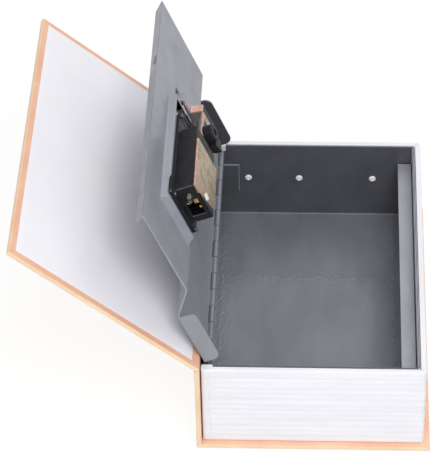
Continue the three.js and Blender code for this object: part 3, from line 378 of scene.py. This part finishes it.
def refined(node, materials, leaf, radius, segments=2, fold_radius=0.0, is_fold=None, pick=None,
            paint_lines=()):
    """A CAD node's solid with its folds and edges rounded, as a new piece that stands for it.

    Its faces are parted at the paint lines, each a plane's normal and distance, so that pick can tell
    their sides.
    """
    source = NODES[node]
    bm = bmesh.new()
    bm.from_mesh(source.data)
    bm.transform(leaf.inverted())
    bmesh.ops.remove_doubles(bm, verts=bm.verts, dist=0.002)
    bmesh.ops.dissolve_limit(bm, angle_limit=math.radians(0.6), verts=bm.verts, edges=bm.edges,
                             use_dissolve_boundaries=False, delimit=set())
    if fold_radius:
        folds = [edge for edge in sharp_edges(bm, 15) if is_fold(edge)]
        round_edges(bm, folds, fold_radius, 3)
        bm.normal_update()
    round_edges(bm, sharp_edges(bm), radius, segments)
    bm.normal_update()
    for normal, distance in paint_lines:
        bmesh.ops.bisect_plane(bm, geom=[*bm.verts, *bm.edges, *bm.faces],
                               plane_co=Vector(normal) * distance, plane_no=normal)
    if pick:
        for face in bm.faces:
            face.material_index = pick(face)
    bm.transform(leaf)
    mesh = mesh_from(bm, f"{node}_finished")
    add_piece(f"{node}_finished", mesh, source["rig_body"], materials, [node])


def between_wide_faces(edge):
    return edge.calc_length() > 4 and all(mean_width(face) > 1.5 for face in edge.link_faces)


def lathe(bm, profile, steps=32):
    """A closed turned solid about Z from (radius, height) points that start and end on the axis."""
    rings = []
    for radius, height in profile:
        if radius < 1e-6:
            rings.append([bm.verts.new((0, 0, height))])
            continue
        rings.append([bm.verts.new((radius * math.cos(2 * math.pi * step / steps),
                                    radius * math.sin(2 * math.pi * step / steps), height))
                      for step in range(steps)])
    for low, high in zip(rings, rings[1:]):
        for step in range(steps):
            after = (step + 1) % steps
            corners = [low[step % len(low)], low[after % len(low)],
                       high[after % len(high)], high[step % len(high)]]
            unique = list(dict.fromkeys(corners))
            if len(unique) > 2:
                bm.faces.new(unique)
    bmesh.ops.recalc_face_normals(bm, faces=bm.faces)


def toward(axis, side):
    """The turn that lays local +Z along the given world axis."""
    direction = Vector((0, 0, 0))
    direction[axis] = side
    return direction.to_track_quat("Z", "Y").to_matrix().to_4x4()


def pop_rivet(node, axis, side):
    """A drawn rivet: a domed flange with a hollow middle and the broken stem down inside."""
    low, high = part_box(node)
    centre = (low + high) / 2
    across = (axis + 1) % 3
    radius = (high[across] - low[across]) / 2 / MM
    length = (high[axis] - low[axis]) / MM
    foot = centre.copy()
    foot[axis] = low[axis] if side > 0 else high[axis]
    seat = length - 1.0
    profile = [
        (0, 0), (0.7, 0), (0.78, 0.08), (0.78, seat), (radius * 0.94, seat), (radius, seat + 0.12),
        (radius * 0.97, seat + 0.34), (radius * 0.84, seat + 0.62), (radius * 0.66, seat + 0.84),
        (radius * 0.50, length - 0.03), (radius * 0.40, length - 0.04), (radius * 0.33, length - 0.14),
        (radius * 0.30, seat + 0.30), (radius * 0.22, seat + 0.34), (radius * 0.12, seat + 0.46),
        (0, seat + 0.50),
    ]
    bm = bmesh.new()
    lathe(bm, profile)
    bm.transform(Matrix.Translation(foot) @ toward(axis, side) @ CASE)
    mesh = mesh_from(bm, f"{node}_finished", 40)
    add_piece(f"{node}_finished", mesh, "case", [RIVET_PAINTED_SHEEN], [node])


def box_mesh(bm, low, high):
    made = bmesh.ops.create_cube(bm, size=1.0)["verts"]
    low, high = Vector(low), Vector(high)
    place = Matrix.Translation((low + high) / 2) @ Matrix.Diagonal((*(high - low), 1.0))
    bmesh.ops.transform(bm, matrix=place, verts=made)


# Book case: back board, spine and front cover

def board_pick(axis, side):
    """The board's turned-in face is peach, its edges and outer face cream."""
    return lambda face: 1 if face.normal[axis] * side > 0.7 else 0


refined("back_cover_board", [CREAM, PEACH], CASE, 0.55, 4, pick=board_pick(2, 1))
refined("spine_board", [CREAM, PEACH], CASE, 0.5, 4, pick=board_pick(0, 1))
refined("front_cover_board", [CREAM, PEACH], COVER, 0.6, 4, pick=board_pick(2, -1))


def rippled_sheet(name, node, leaf, body, face_side, amplitude, crease_x, crease_reach):
    """A pasted paper sheet: soft edges, and faint waves that grow towards the joint."""
    source = NODES[node]
    inverse = leaf.inverted()
    corners = [inverse @ vertex.co for vertex in source.data.vertices]
    low = Vector([min(corner[axis] for corner in corners) for axis in range(3)])
    high = Vector([max(corner[axis] for corner in corners) for axis in range(3)])
    columns, rows = 64, 90
    bm = bmesh.new()
    layers = []
    for is_face in (False, True):
        grid = []
        for row in range(rows + 1):
            line = []
            for column in range(columns + 1):
                x = low.x + (high.x - low.x) * column / columns
                y = low.y + (high.y - low.y) * row / rows
                edge = min(column, columns - column, row, rows - row)
                z = high.z if (face_side > 0) == is_face else low.z
                if is_face:
                    near = math.exp(-abs(x - crease_x) / crease_reach)
                    wave = noise.noise(Vector((x * 0.05, y * 0.06, 3.1)))
                    pinch = noise.noise(Vector((x * 0.25, y * 0.12, 9.0)))
                    height = amplitude * (0.25 * wave + near * max(pinch, 0.0))
                    drop = 0.10 if edge == 0 else 0.0
                    z += face_side * (height * min(edge, 3) / 3 - drop)
                line.append(bm.verts.new((x, y, z)))
            grid.append(line)
        layers.append(grid)
    under, over = layers
    for row in range(rows):
        for column in range(columns):
            bm.faces.new((over[row][column], over[row][column + 1],
                          over[row + 1][column + 1], over[row + 1][column]))
            bm.faces.new((under[row][column], under[row + 1][column],
                          under[row + 1][column + 1], under[row][column + 1]))
    for row in range(rows):
        for column in (0, columns):
            bm.faces.new((over[row][column], over[row + 1][column],
                          under[row + 1][column], under[row][column]))
    for column in range(columns):
        for row in (0, rows):
            bm.faces.new((over[row][column], under[row][column],
                          under[row][column + 1], over[row][column + 1]))
    bmesh.ops.recalc_face_normals(bm, faces=bm.faces)
    bm.transform(leaf)
    add_piece(name, mesh_from(bm, name, 50), body, [ENDPAPER], [node])


rippled_sheet("front_endpaper_sheet", "front_endpaper", COVER, "front_cover", -1, 0.22, 4, 9)
rippled_sheet("back_endpaper_sheet", "back_endpaper", CASE, "case", 1, 0.0, -52, 9)

COVER_JOINT = Vector(JOINTS["cover_hinge"]["pos_m"]) / MM
BOARD_HALF = 1.25
JOINT_PAPER = 0.16


def cover_joint():
    """The cover paper where it runs from the spine round the joint to the front cover."""
    outward = (COVER.to_3x3() @ Vector((0, 0, 1))).normalized()
    along = (COVER.to_3x3() @ Vector((1, 0, 0))).normalized()
    axis = Vector((COVER_JOINT.x, 0, COVER_JOINT.z))
    spine_x = COVER_JOINT.x - BOARD_HALF
    skin = [axis + outward * BOARD_HALF + along * step for step in (5.0, 4.0, 3.0, 2.4, 1.9, 1.4, 1.0, 0.75)]
    climb = [Vector((spine_x, 0, axis.z - drop)) for drop in (0.75, 1.0, 1.3, 1.8, 2.6, 4.0, 6.0)]
    inner = [*skin, *climb]
    outer = []
    for index, point in enumerate(inner):
        before = inner[max(index - 1, 0)]
        after = inner[min(index + 1, len(inner) - 1)]
        run = (after - before).normalized()
        outer.append(point + Vector((run.z, 0, -run.x)) * JOINT_PAPER)
    if (outer[0] - inner[0]).dot(outward) < 0:
        outer = [2 * point - moved for point, moved in zip(inner, outer)]
    ends = 36
    half = 89.4
    bm = bmesh.new()
    rings = []
    for end in range(ends + 1):
        y = -half + 2 * half * end / ends
        loop = [*inner, *reversed(outer)]
        rings.append([bm.verts.new((point.x, y, point.z)) for point in loop])
    for first, second in zip(rings, rings[1:]):
        for index in range(len(first)):
            after = (index + 1) % len(first)
            bm.faces.new((first[index], first[after], second[after], second[index]))
    bm.faces.new(rings[0])
    bm.faces.new(list(reversed(rings[-1])))
    bmesh.ops.recalc_face_normals(bm, faces=bm.faces)
    bm.transform(CASE)
    mesh = mesh_from(bm, "cover_joint_paper", 60)
    mesh.materials.append(CREAM)
    piece = bpy.data.objects.new("cover_joint_paper", mesh)
    bpy.context.scene.collection.objects.link(piece)
    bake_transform(piece)


cover_joint()


# Page block

BLOCK_LOW, BLOCK_HIGH = (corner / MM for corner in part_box("page_block_frame"))
WALL = 2.8
BLOCK_CORNER = 2.2
RIM_BAND = 1.8
END_MARGIN = 3.4
PAGE_STEPS = 150
# Height as a share of the block, depth and half width of each fold between the pages
PAGE_FOLDS = [
    (0.060, 0.26, 0.90), (0.135, 0.17, 1.10), (0.205, 0.24, 0.80), (0.290, 0.28, 1.10), (0.365, 0.15, 0.80),
    (0.435, 0.26, 1.00), (0.500, 0.18, 0.80), (0.580, 0.28, 1.20), (0.665, 0.20, 0.80), (0.735, 0.27, 1.00),
    (0.815, 0.17, 1.10), (0.885, 0.26, 0.80),
]


def fold_depth(height, run):
    """How far the block's outer face lies in at a height, at a place along its walls."""
    total = BLOCK_HIGH.z - BLOCK_LOW.z
    depth = 0.0
    for index, (share, deep, wide) in enumerate(PAGE_FOLDS):
        drift = 0.45 * noise.noise(Vector((run * 0.012, index * 7.3, 1.0)))
        fade = 0.75 + 0.5 * noise.noise(Vector((run * 0.02, index * 3.1, 5.0)))
        offset = height - share * total - drift
        depth += deep * fade * math.exp(-(offset / wide) ** 2)
    ripple = 0.05 * noise.noise(Vector((run * 0.01, height * 1.6, 2.0)))
    return min(max(depth + ripple, 0.0), 0.5)


def block_path():
    """Points and normals along the outer face, from the tail wall's spine end to the head wall's."""
    points = []
    right, left = BLOCK_HIGH.x, BLOCK_LOW.x
    low, high = BLOCK_LOW.y, BLOCK_HIGH.y

    def straight(start, end, normal, count, skip_first):
        for step in range(1 if skip_first else 0, count + 1):
            share = step / count
            points.append((start[0] + (end[0] - start[0]) * share,
                           start[1] + (end[1] - start[1]) * share, *normal))

    def corner(x, y, from_angle):
        for step in range(1, 7):
            angle = math.radians(from_angle + 90 * step / 6)
            points.append((x + BLOCK_CORNER * math.cos(angle), y + BLOCK_CORNER * math.sin(angle),
                           math.cos(angle), math.sin(angle)))

    for x in (0, 0.25, 0.6, 1.1, 2.2, 3.3, 3.42, 3.75, 3.9, 4.4):
        points.append((left + x, low, 0, -1))
    straight((left + 4.4, low), (right - BLOCK_CORNER, low), (0, -1), 36, True)
    corner(right - BLOCK_CORNER, low + BLOCK_CORNER, -90)
    straight((right, low + BLOCK_CORNER), (right, high - BLOCK_CORNER), (1, 0), 60, True)
    corner(right - BLOCK_CORNER, high - BLOCK_CORNER, 0)
    straight((right - BLOCK_CORNER, high), (left + 4.4, high), (0, 1), 36, True)
    for x in (3.9, 3.75, 3.42, 3.3, 2.2, 1.1, 0.6, 0.25, 0):
        points.append((left + x, high, 0, 1))
    return points


def page_block():
    total = BLOCK_HIGH.z - BLOCK_LOW.z
    rim_round = 0.7
    bm = bmesh.new()
    rings = []
    run = 0.0
    path = block_path()
    for index, (x, y, nx, ny) in enumerate(path):
        if index:
            run += math.hypot(x - path[index - 1][0], y - path[index - 1][1])
        from_spine = x - BLOCK_LOW.x
        plain = 0.0 if from_spine < END_MARGIN else 1.0
        groove = 0.42 if 3.35 < from_spine < 3.8 and abs(ny) > 0.9 else 0.0
        end_round = 0.0
        if from_spine < 1.1 and abs(ny) > 0.9:
            end_round = 1.1 - math.sqrt(max(1.1 ** 2 - (1.1 - from_spine) ** 2, 0.0))
        section = [(WALL, 0.0), (0.35 + end_round, 0.0), (0.10 + end_round, 0.10)]
        for step in range(PAGE_STEPS + 1):
            height = 0.35 + (total - rim_round - 0.35) * step / PAGE_STEPS
            inside = min(max((height - 0.6) / 0.8, 0), 1) * min(max((total - RIM_BAND - height) / 0.6, 0), 1)
            depth = max(fold_depth(height, run) * plain, groove) * inside
            section.append((depth + end_round, height))
        for step in range(1, 6):
            angle = math.radians(90 * step / 5)
            section.append((end_round + rim_round * (1 - math.cos(angle)),
                            total - rim_round + rim_round * math.sin(angle)))
        section += [(WALL - 0.4, total), (WALL - 0.12, total - 0.10), (WALL, total - 0.40), (WALL, total / 2)]
        rings.append([bm.verts.new((x - nx * inset, y - ny * inset, BLOCK_LOW.z + height))
                      for inset, height in section])
    for first, second in zip(rings, rings[1:]):
        for index in range(len(first)):
            after = (index + 1) % len(first)
            bm.faces.new((first[index], first[after], second[after], second[index]))
    bm.faces.new(rings[0])
    bm.faces.new(list(reversed(rings[-1])))
    bmesh.ops.recalc_face_normals(bm, faces=bm.faces)
    bm.transform(CASE)
    mesh = mesh_from(bm, "page_block_finished", 50)
    add_piece("page_block_finished", mesh, "case", [PAGES], ["page_block_frame"])


page_block()

LUG_WIDTH, LUG_HEIGHT, LUG_REACH = 5.8, 4.0, 4.6


def corner_lug(name, side):
    """The block's own corner over the end of the hinge, with a small step towards the barrel."""
    outer = BLOCK_HIGH.y - 1.2
    inner = BLOCK_HIGH.y - LUG_REACH
    left, top = BLOCK_LOW.x, BLOCK_HIGH.z
    bm = bmesh.new()
    y = sorted((side * inner, side * outer))
    box_mesh(bm, (left, y[0], top - LUG_HEIGHT), (left + LUG_WIDTH, y[1], top - 0.05))
    round_edges(bm, list(bm.edges), 0.7, 4)
    bm.transform(CASE)
    add_piece(name, mesh_from(bm, name), "case", [PAGES])


corner_lug("corner_lug_tail", -1)
corner_lug("corner_lug_head", 1)


# Steel box

def tray_fold(edge):
    top = max(vertex.co.z for vertex in edge.verts)
    upright = abs(edge.verts[0].co.z - edge.verts[1].co.z) > 20
    return between_wide_faces(edge) and (top < 5 or upright)


LEDGE_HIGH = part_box("strike_ledge")[1] / MM
# The places that bound the edges of the folded corner tabs, in millimetres
TAB_Y, TAB_X, TAB_LOW, TAB_HIGH = 81, -41.4, 19, 38.2


def tray_paint(face):
    """The floor, the wall above the ledge and the edges of the corner tabs take more light than the walls, so
    they are painted lighter: the walls in painted shade, the wall above the ledge in painted light and the
    tabs' edges as a painted highlight.
    """
    centre = face.calc_center_median()
    if face.normal.z > 0.6 and centre.z < 5:
        return 1
    if centre.x > LEDGE_HIGH.x and centre.z > LEDGE_HIGH.z:
        return 2
    on_tab = abs(centre.y) > TAB_Y and centre.x < TAB_X and TAB_LOW < centre.z < TAB_HIGH
    return 3 if on_tab and mean_width(face) < 0.4 else 0


refined("steel_tray", [GREY_WALLS_PAINTED_SHADE, GREY_FLOOR_PAINTED_SHADE_AND_GLINTS, GREY_EDGE_PAINTED_LIGHT, GREY], CASE, 0.22, 2, 0.9,
        tray_fold, tray_paint, [((0, 0, 1), LEDGE_HIGH.z)])
# The ledge takes the lighter copy as painted light and the hinge leaf the darker copy as painted shade
refined("strike_ledge", [GREY_LEDGE_PAINTED_LIGHT], CASE, 0.22, 2, 0.5, between_wide_faces)
refined("box_hinge_leaf", [GREY_HINGE_PAINTED_SHADE], CASE, 0.12)
refined("hinge_pin", [STEEL], CASE, 0.2)

for number in (1, 2, 3):
    pop_rivet(f"tail_rivet_{number}", 1, 1)
    pop_rivet(f"head_rivet_{number}", 1, -1)
    pop_rivet(f"ledge_rivet_{number}", 0, -1)
for number in (1, 2, 3, 4):
    pop_rivet(f"leaf_rivet_{number}", 0, 1)


# Lid sheet

def lid_fold(edge):
    if not between_wide_faces(edge):
        return False
    if all(abs(vertex.co.y) > 80 for vertex in edge.verts):
        return all(vertex.co.z > 0.4 and vertex.co.x < 34.2 for vertex in edge.verts)
    return all(vertex.co.x > 2.6 for vertex in edge.verts)


# The black patch painted on the sheet under the latch: x from and to, y from, y under the tongue and y to
LATCH_SHADE = (40.0, 70.0, 12.0, 36.5, 52.0)
SHADE_LINE = ((0.755, 0.656, 0), 70.6)
CRANK_SHADE_FROM = 46.5
BARREL_REACH = 2.6
LIP_FOLD_X = 99
FAR_TAB_Y, FAR_TAB_X = 80, 34
# The edge of the latch's window: y from and to, x from and to
WINDOW_EDGE = (12, 23, 64, 81.5)


def lid_paint(face):
    """The fold at the lip and the far end's tab are painted in shade, the hinge's knuckles take the darker
    hinge copy as painted shade, the edge of the latch's window is painted black as shade, and the sheet under
    the latch is painted black.
    """
    centre, normal = face.calc_center_median(), face.normal
    if centre.x < BARREL_REACH:
        return 3
    if centre.x > LIP_FOLD_X and normal.x > 0.15 and normal.z < -0.15:
        return 1
    if centre.y > FAR_TAB_Y and centre.x < FAR_TAB_X and normal.y < -0.5:
        return 1
    low_x, high_x, low_y, middle_y, high_y = LATCH_SHADE
    beside_crank = CRANK_SHADE_FROM < centre.x and centre.dot(Vector(SHADE_LINE[0])) < SHADE_LINE[1]
    under_tongue = centre.y < middle_y or (centre.y < high_y and beside_crank)
    under_latch = low_x < centre.x < high_x and low_y < centre.y and under_tongue
    near_y, far_y, left_x, right_x = WINDOW_EDGE
    window_edge = normal.y < -0.5 and near_y < centre.y < far_y and left_x < centre.x < right_x
    return 2 if (under_latch or window_edge) and centre.z < -5 and normal.z < 0.3 else 0


refined("lid_panel", [GREY, GREY_SHADE, BLACK, GREY_HINGE_PAINTED_SHADE], LID, 0.2, 2, 0.7,
        lid_fold, lid_paint,
        [((1, 0, 0), place) for place in LATCH_SHADE[:2]] + [((0, 1, 0), place) for place in LATCH_SHADE[2:]]
        + [SHADE_LINE, ((1, 0, 0), CRANK_SHADE_FROM)])


# Lock

TONGUE_START = 62.0
TONGUE_BARE = 90.0
RISER_END = 64.6
PLATE_LINE = ((-0.288, -0.958, 0), 20.72)
# The black patch painted on the latch plate round the knob: x from and to, y from and to, and y where its far
# strip starts
KNOB_PATCH = (45.0, 59.8, 18.5, 28.5, 33.2)


def plate_paint(face):
    """The far and free edges are bare where they were stamped out, and the near end is painted black."""
    if face.calc_center_median().dot(Vector(PLATE_LINE[0])) > PLATE_LINE[1]:
        return 2
    return 1 if face.normal.y > 0.5 or face.normal.x > 0.5 else 0


def latch_paint(face):
    """The tongue is painted with the lid, but for its bare near edge, and a patch round the knob and a far
    strip are painted black.
    """
    centre, normal = face.calc_center_median(), face.normal
    if centre.x > TONGUE_START:
        riser = centre.x < RISER_END and abs(normal.x) > 0.7
        return 1 if riser or (normal.y < -0.3 and centre.x < TONGUE_BARE) else 2
    if normal.x > 0.3 or normal.y < -0.3:
        return 1
    low_x, high_x, low_y, high_y, far_y = KNOB_PATCH
    in_patch = low_x < centre.x < high_x and low_y < centre.y < high_y
    return 3 if (in_patch or centre.y > far_y) and normal.z < 0.3 else 0


refined("lock_bezel", [BLACK], LID, 0.25)
# The housing's faces turned towards the near end and the free edge take the lighter black as a painted
# highlight
refined("lock_housing", [BLACK, BLACK_PAINTED_HIGHLIGHT], LID, 0.34,
        pick=lambda face: 1 if face.normal.y < -0.2 and face.normal.x > 0.2 else 0)
refined("lock_cover_plate", [ZINC, RAW_EDGE, BLACK], LID, 0.12, pick=plate_paint,
        paint_lines=[PLATE_LINE])
refined("latch_plate", [ZINC, RAW_EDGE, GREY, BLACK], LID, 0.12, 2, 0.5, between_wide_faces,
        latch_paint, [((1, 0, 0), place) for place in (*KNOB_PATCH[:2], TONGUE_BARE)]
        + [((0, 1, 0), place) for place in KNOB_PATCH[2:]])
refined("latch_guide_strap", [ZINC], LID, 0.12)
refined("fence_bar", [BLACK], LID, 0.08)
refined("thumb_slide", [BLACK], LID, 0.2)
refined("slide_knob", [BLACK], LID, 0.2)
refined("detent_spring", [DARK_STEEL], LID, 0.06)
refined("dial_axle", [STEEL], LID, 0.12)
refined("axle_washer", [DARKENED_IVORY], LID, 0.12)
refined("axle_spring", [BRASS], LID, 0.02, 1)
refined("code_change_button", [DARKENED_IVORY], LID, 0.15)
for number in (1, 2, 3, 4):
    refined(f"lock_screw_{number}", [DARK_STEEL], LID, 0.12)
for number in (1, 2, 3):
    refined(f"dial_{number}", [BLACK], LID, 0.12)
    refined(f"dial_sleeve_{number}", [BRASS], LID, 0.08)


def lock_bit(name, body, material, low, high, turn=0.0, radius=0.15):
    """A small moulded or cut piece of the lock, turned about its own middle in the lid's plane."""
    middle = (Vector(low) + Vector(high)) / 2
    bm = bmesh.new()
    box_mesh(bm, low, high)
    round_edges(bm, list(bm.edges), radius, 2)
    bm.transform(Matrix.Translation(middle) @ Matrix.Rotation(math.radians(turn), 4, "Z")
                 @ Matrix.Translation(-middle))
    bm.transform(LID)
    add_piece(name, mesh_from(bm, name), body, [material])


lock_bit("code_tab", "lid", IVORY, (64.3, -41.0, -26.1), (67.5, -38.7, -25.05), 20, 0.08)
# A thin steel strip on the sheet, pale as a painted highlight along it
lock_bit("latch_return_strip", "lid", STRIP_STEEL_PAINTED_HIGHLIGHT,
         (58.6, 31.5, -10.95), (69.4, 32.0, -10.4), 7, 0.05)
lock_bit("knob_guard", "latch", BLACK, (46.2, 15.9, -22.6), (53.8, 22.4, -18.55), -25, 0.6)
lock_bit("code_lever", "lid", BRASS, (66.6, -43.3, -22.3), (69.2, -42.5, -20.0), 0, 0.12)
lock_bit("code_lever_tip", "lid", BRASS, (63.2, -43.2, -22.3), (64.6, -42.5, -21.2), 0, 0.12)
lock_bit("code_pin", "lid", STEEL, (67.0, -43.2, -17.0), (67.9, -42.4, -16.2), 0, 0.12)

DIAL_RADIUS = 6.4
NUMBER_SIZE = 2.7


def dial_numbers(number):
    """The raised figures round a dial, each bent to the rim between two notches."""
    dial = LID.inverted() @ Vector(JOINTS[f"dial_turn_{number}"]["pos_m"])
    bm = bmesh.new()
    for figure in range(10):
        text = bpy.data.curves.new(f"figure_{number}_{figure}", "FONT")
        text.body = str(figure)
        text.size = NUMBER_SIZE
        text.extrude = 0.02
        text.align_x = "CENTER"
        text.align_y = "CENTER"
        holder = bpy.data.objects.new(f"figure_{number}_{figure}", text)
        bpy.context.scene.collection.objects.link(holder)
        bpy.context.view_layer.update()
        flat = bpy.data.meshes.new_from_object(holder.evaluated_get(bpy.context.evaluated_depsgraph_get()))
        bpy.data.objects.remove(holder)
        middle = math.pi / 2 + 2 * math.pi * figure / 10
        for vertex in flat.vertices:
            angle = middle + vertex.co.y / DIAL_RADIUS
            reach = DIAL_RADIUS + vertex.co.z
            vertex.co = (dial.x + reach * math.cos(angle), dial.y - vertex.co.x,
                         dial.z + reach * math.sin(angle))
        bm.from_mesh(flat)
        bpy.data.meshes.remove(flat)
    bm.transform(LID)
    name = f"dial_numbers_{number}"
    add_piece(name, mesh_from(bm, name), f"dial_wheel_{number}", [NUMBER_WHITE])


for number in (1, 2, 3):
    dial_numbers(number)


# Floor, light and camera

FLOOR_GLOW = 0.8
AMBIENT = 0.45
LIT_POINT = (-0.02, 0, 0.05)


def pale_floor():
    bm = bmesh.new()
    bmesh.ops.create_grid(bm, x_segments=8, y_segments=8, size=6.0)
    bm.transform(Matrix.Translation((0, 0, -0.0004)))
    mesh = bpy.data.meshes.new("floor")
    bm.to_mesh(mesh)
    bm.free()
    floor = bpy.data.objects.new("floor", mesh)
    bpy.context.scene.collection.objects.link(floor)
    material = bpy.data.materials.new("floor")
    material.use_nodes = True
    tree = material.node_tree
    tree.nodes.remove(tree.nodes["Principled BSDF"])
    matte = tree.nodes.new("ShaderNodeBsdfDiffuse")
    matte.inputs["Color"].default_value = colour(0.86, 0.86, 0.86)
    glow = tree.nodes.new("ShaderNodeEmission")
    glow.inputs["Strength"].default_value = 1.06
    both = tree.nodes.new("ShaderNodeMixShader")
    seen = seen_directly(tree)
    scale = tree.nodes.new("ShaderNodeMath")
    scale.operation = "MULTIPLY"
    scale.inputs[1].default_value = FLOOR_GLOW
    tree.links.new(seen, scale.inputs[0])
    tree.links.new(scale.outputs[0], both.inputs["Fac"])
    tree.links.new(matte.outputs["BSDF"], both.inputs[1])
    tree.links.new(glow.outputs["Emission"], both.inputs[2])
    tree.links.new(both.outputs["Shader"], tree.nodes["Material Output"].inputs["Surface"])
    mesh.materials.append(material)


def seen_directly(tree):
    """One for camera, glossy and transmission rays, and nought for the light that falls on things."""
    path = tree.nodes.new("ShaderNodeLightPath")
    total = path.outputs["Is Camera Ray"]
    for output in ("Is Glossy Ray", "Is Transmission Ray"):
        node = tree.nodes.new("ShaderNodeMath")
        node.operation = "MAXIMUM"
        tree.links.new(total, node.inputs[0])
        tree.links.new(path.outputs[output], node.inputs[1])
        total = node.outputs[0]
    return total


def surroundings():
    world = bpy.data.worlds.new("surroundings")
    bpy.context.scene.world = world
    world.use_nodes = True
    tree = world.node_tree
    backdrop = tree.nodes["Background"]
    backdrop.inputs["Color"].default_value = colour(1, 1, 1)
    backdrop.inputs["Strength"].default_value = 1.0
    ambient = tree.nodes.new("ShaderNodeBackground")
    ambient.inputs["Color"].default_value = colour(0.97, 0.98, 1.0)
    ambient.inputs["Strength"].default_value = AMBIENT
    both = tree.nodes.new("ShaderNodeMixShader")
    tree.links.new(seen_directly(tree), both.inputs["Fac"])
    tree.links.new(ambient.outputs["Background"], both.inputs[1])
    tree.links.new(backdrop.outputs["Background"], both.inputs[2])
    tree.links.new(both.outputs["Shader"], tree.nodes["World Output"].inputs["Surface"])


def soft_box(name, place, target, size, power):
    lamp = bpy.data.lights.new(name, "AREA")
    lamp.shape = "RECTANGLE"
    lamp.size, lamp.size_y = size
    lamp.energy = power
    holder = bpy.data.objects.new(name, lamp)
    bpy.context.scene.collection.objects.link(holder)
    holder.location = place
    holder.rotation_mode = "QUATERNION"
    holder.rotation_quaternion = (Vector(target) - Vector(place)).to_track_quat("-Z", "Y")


def photo_camera():
    data = bpy.data.cameras.new("camera")
    data.sensor_fit = "AUTO"
    data.sensor_width = SENSOR
    data.lens = FOCAL_PIXELS * SENSOR / FRAME_HEIGHT
    data.clip_start, data.clip_end = 0.05, 50
    camera = bpy.data.objects.new("camera", data)
    bpy.context.scene.collection.objects.link(camera)
    forward = Vector((-math.sin(YAW) * math.cos(PITCH), math.cos(YAW) * math.cos(PITCH), -math.sin(PITCH)))
    level = Vector((math.cos(YAW), math.sin(YAW), 0))
    upright = level.cross(forward)
    right = level * math.cos(ROLL) + upright * math.sin(ROLL)
    up = upright * math.cos(ROLL) - level * math.sin(ROLL)
    turn = Matrix((right, up, -forward)).transposed()
    camera.matrix_world = Matrix.Translation(CAMERA_PLACE) @ turn.to_4x4()
    bpy.context.scene.camera = camera


pale_floor()
surroundings()
soft_box("key_light", (0.25, -1.05, 1.40), LIT_POINT, (0.9, 0.9), 16)
soft_box("fill_light", (-0.9, -0.9, 0.9), LIT_POINT, (1.2, 1.2), 4)
soft_box("rear_light", (0.6, 0.95, 1.15), LIT_POINT, (0.9, 0.9), 5)
photo_camera()

bpy.context.scene.view_settings.view_transform = "Standard"
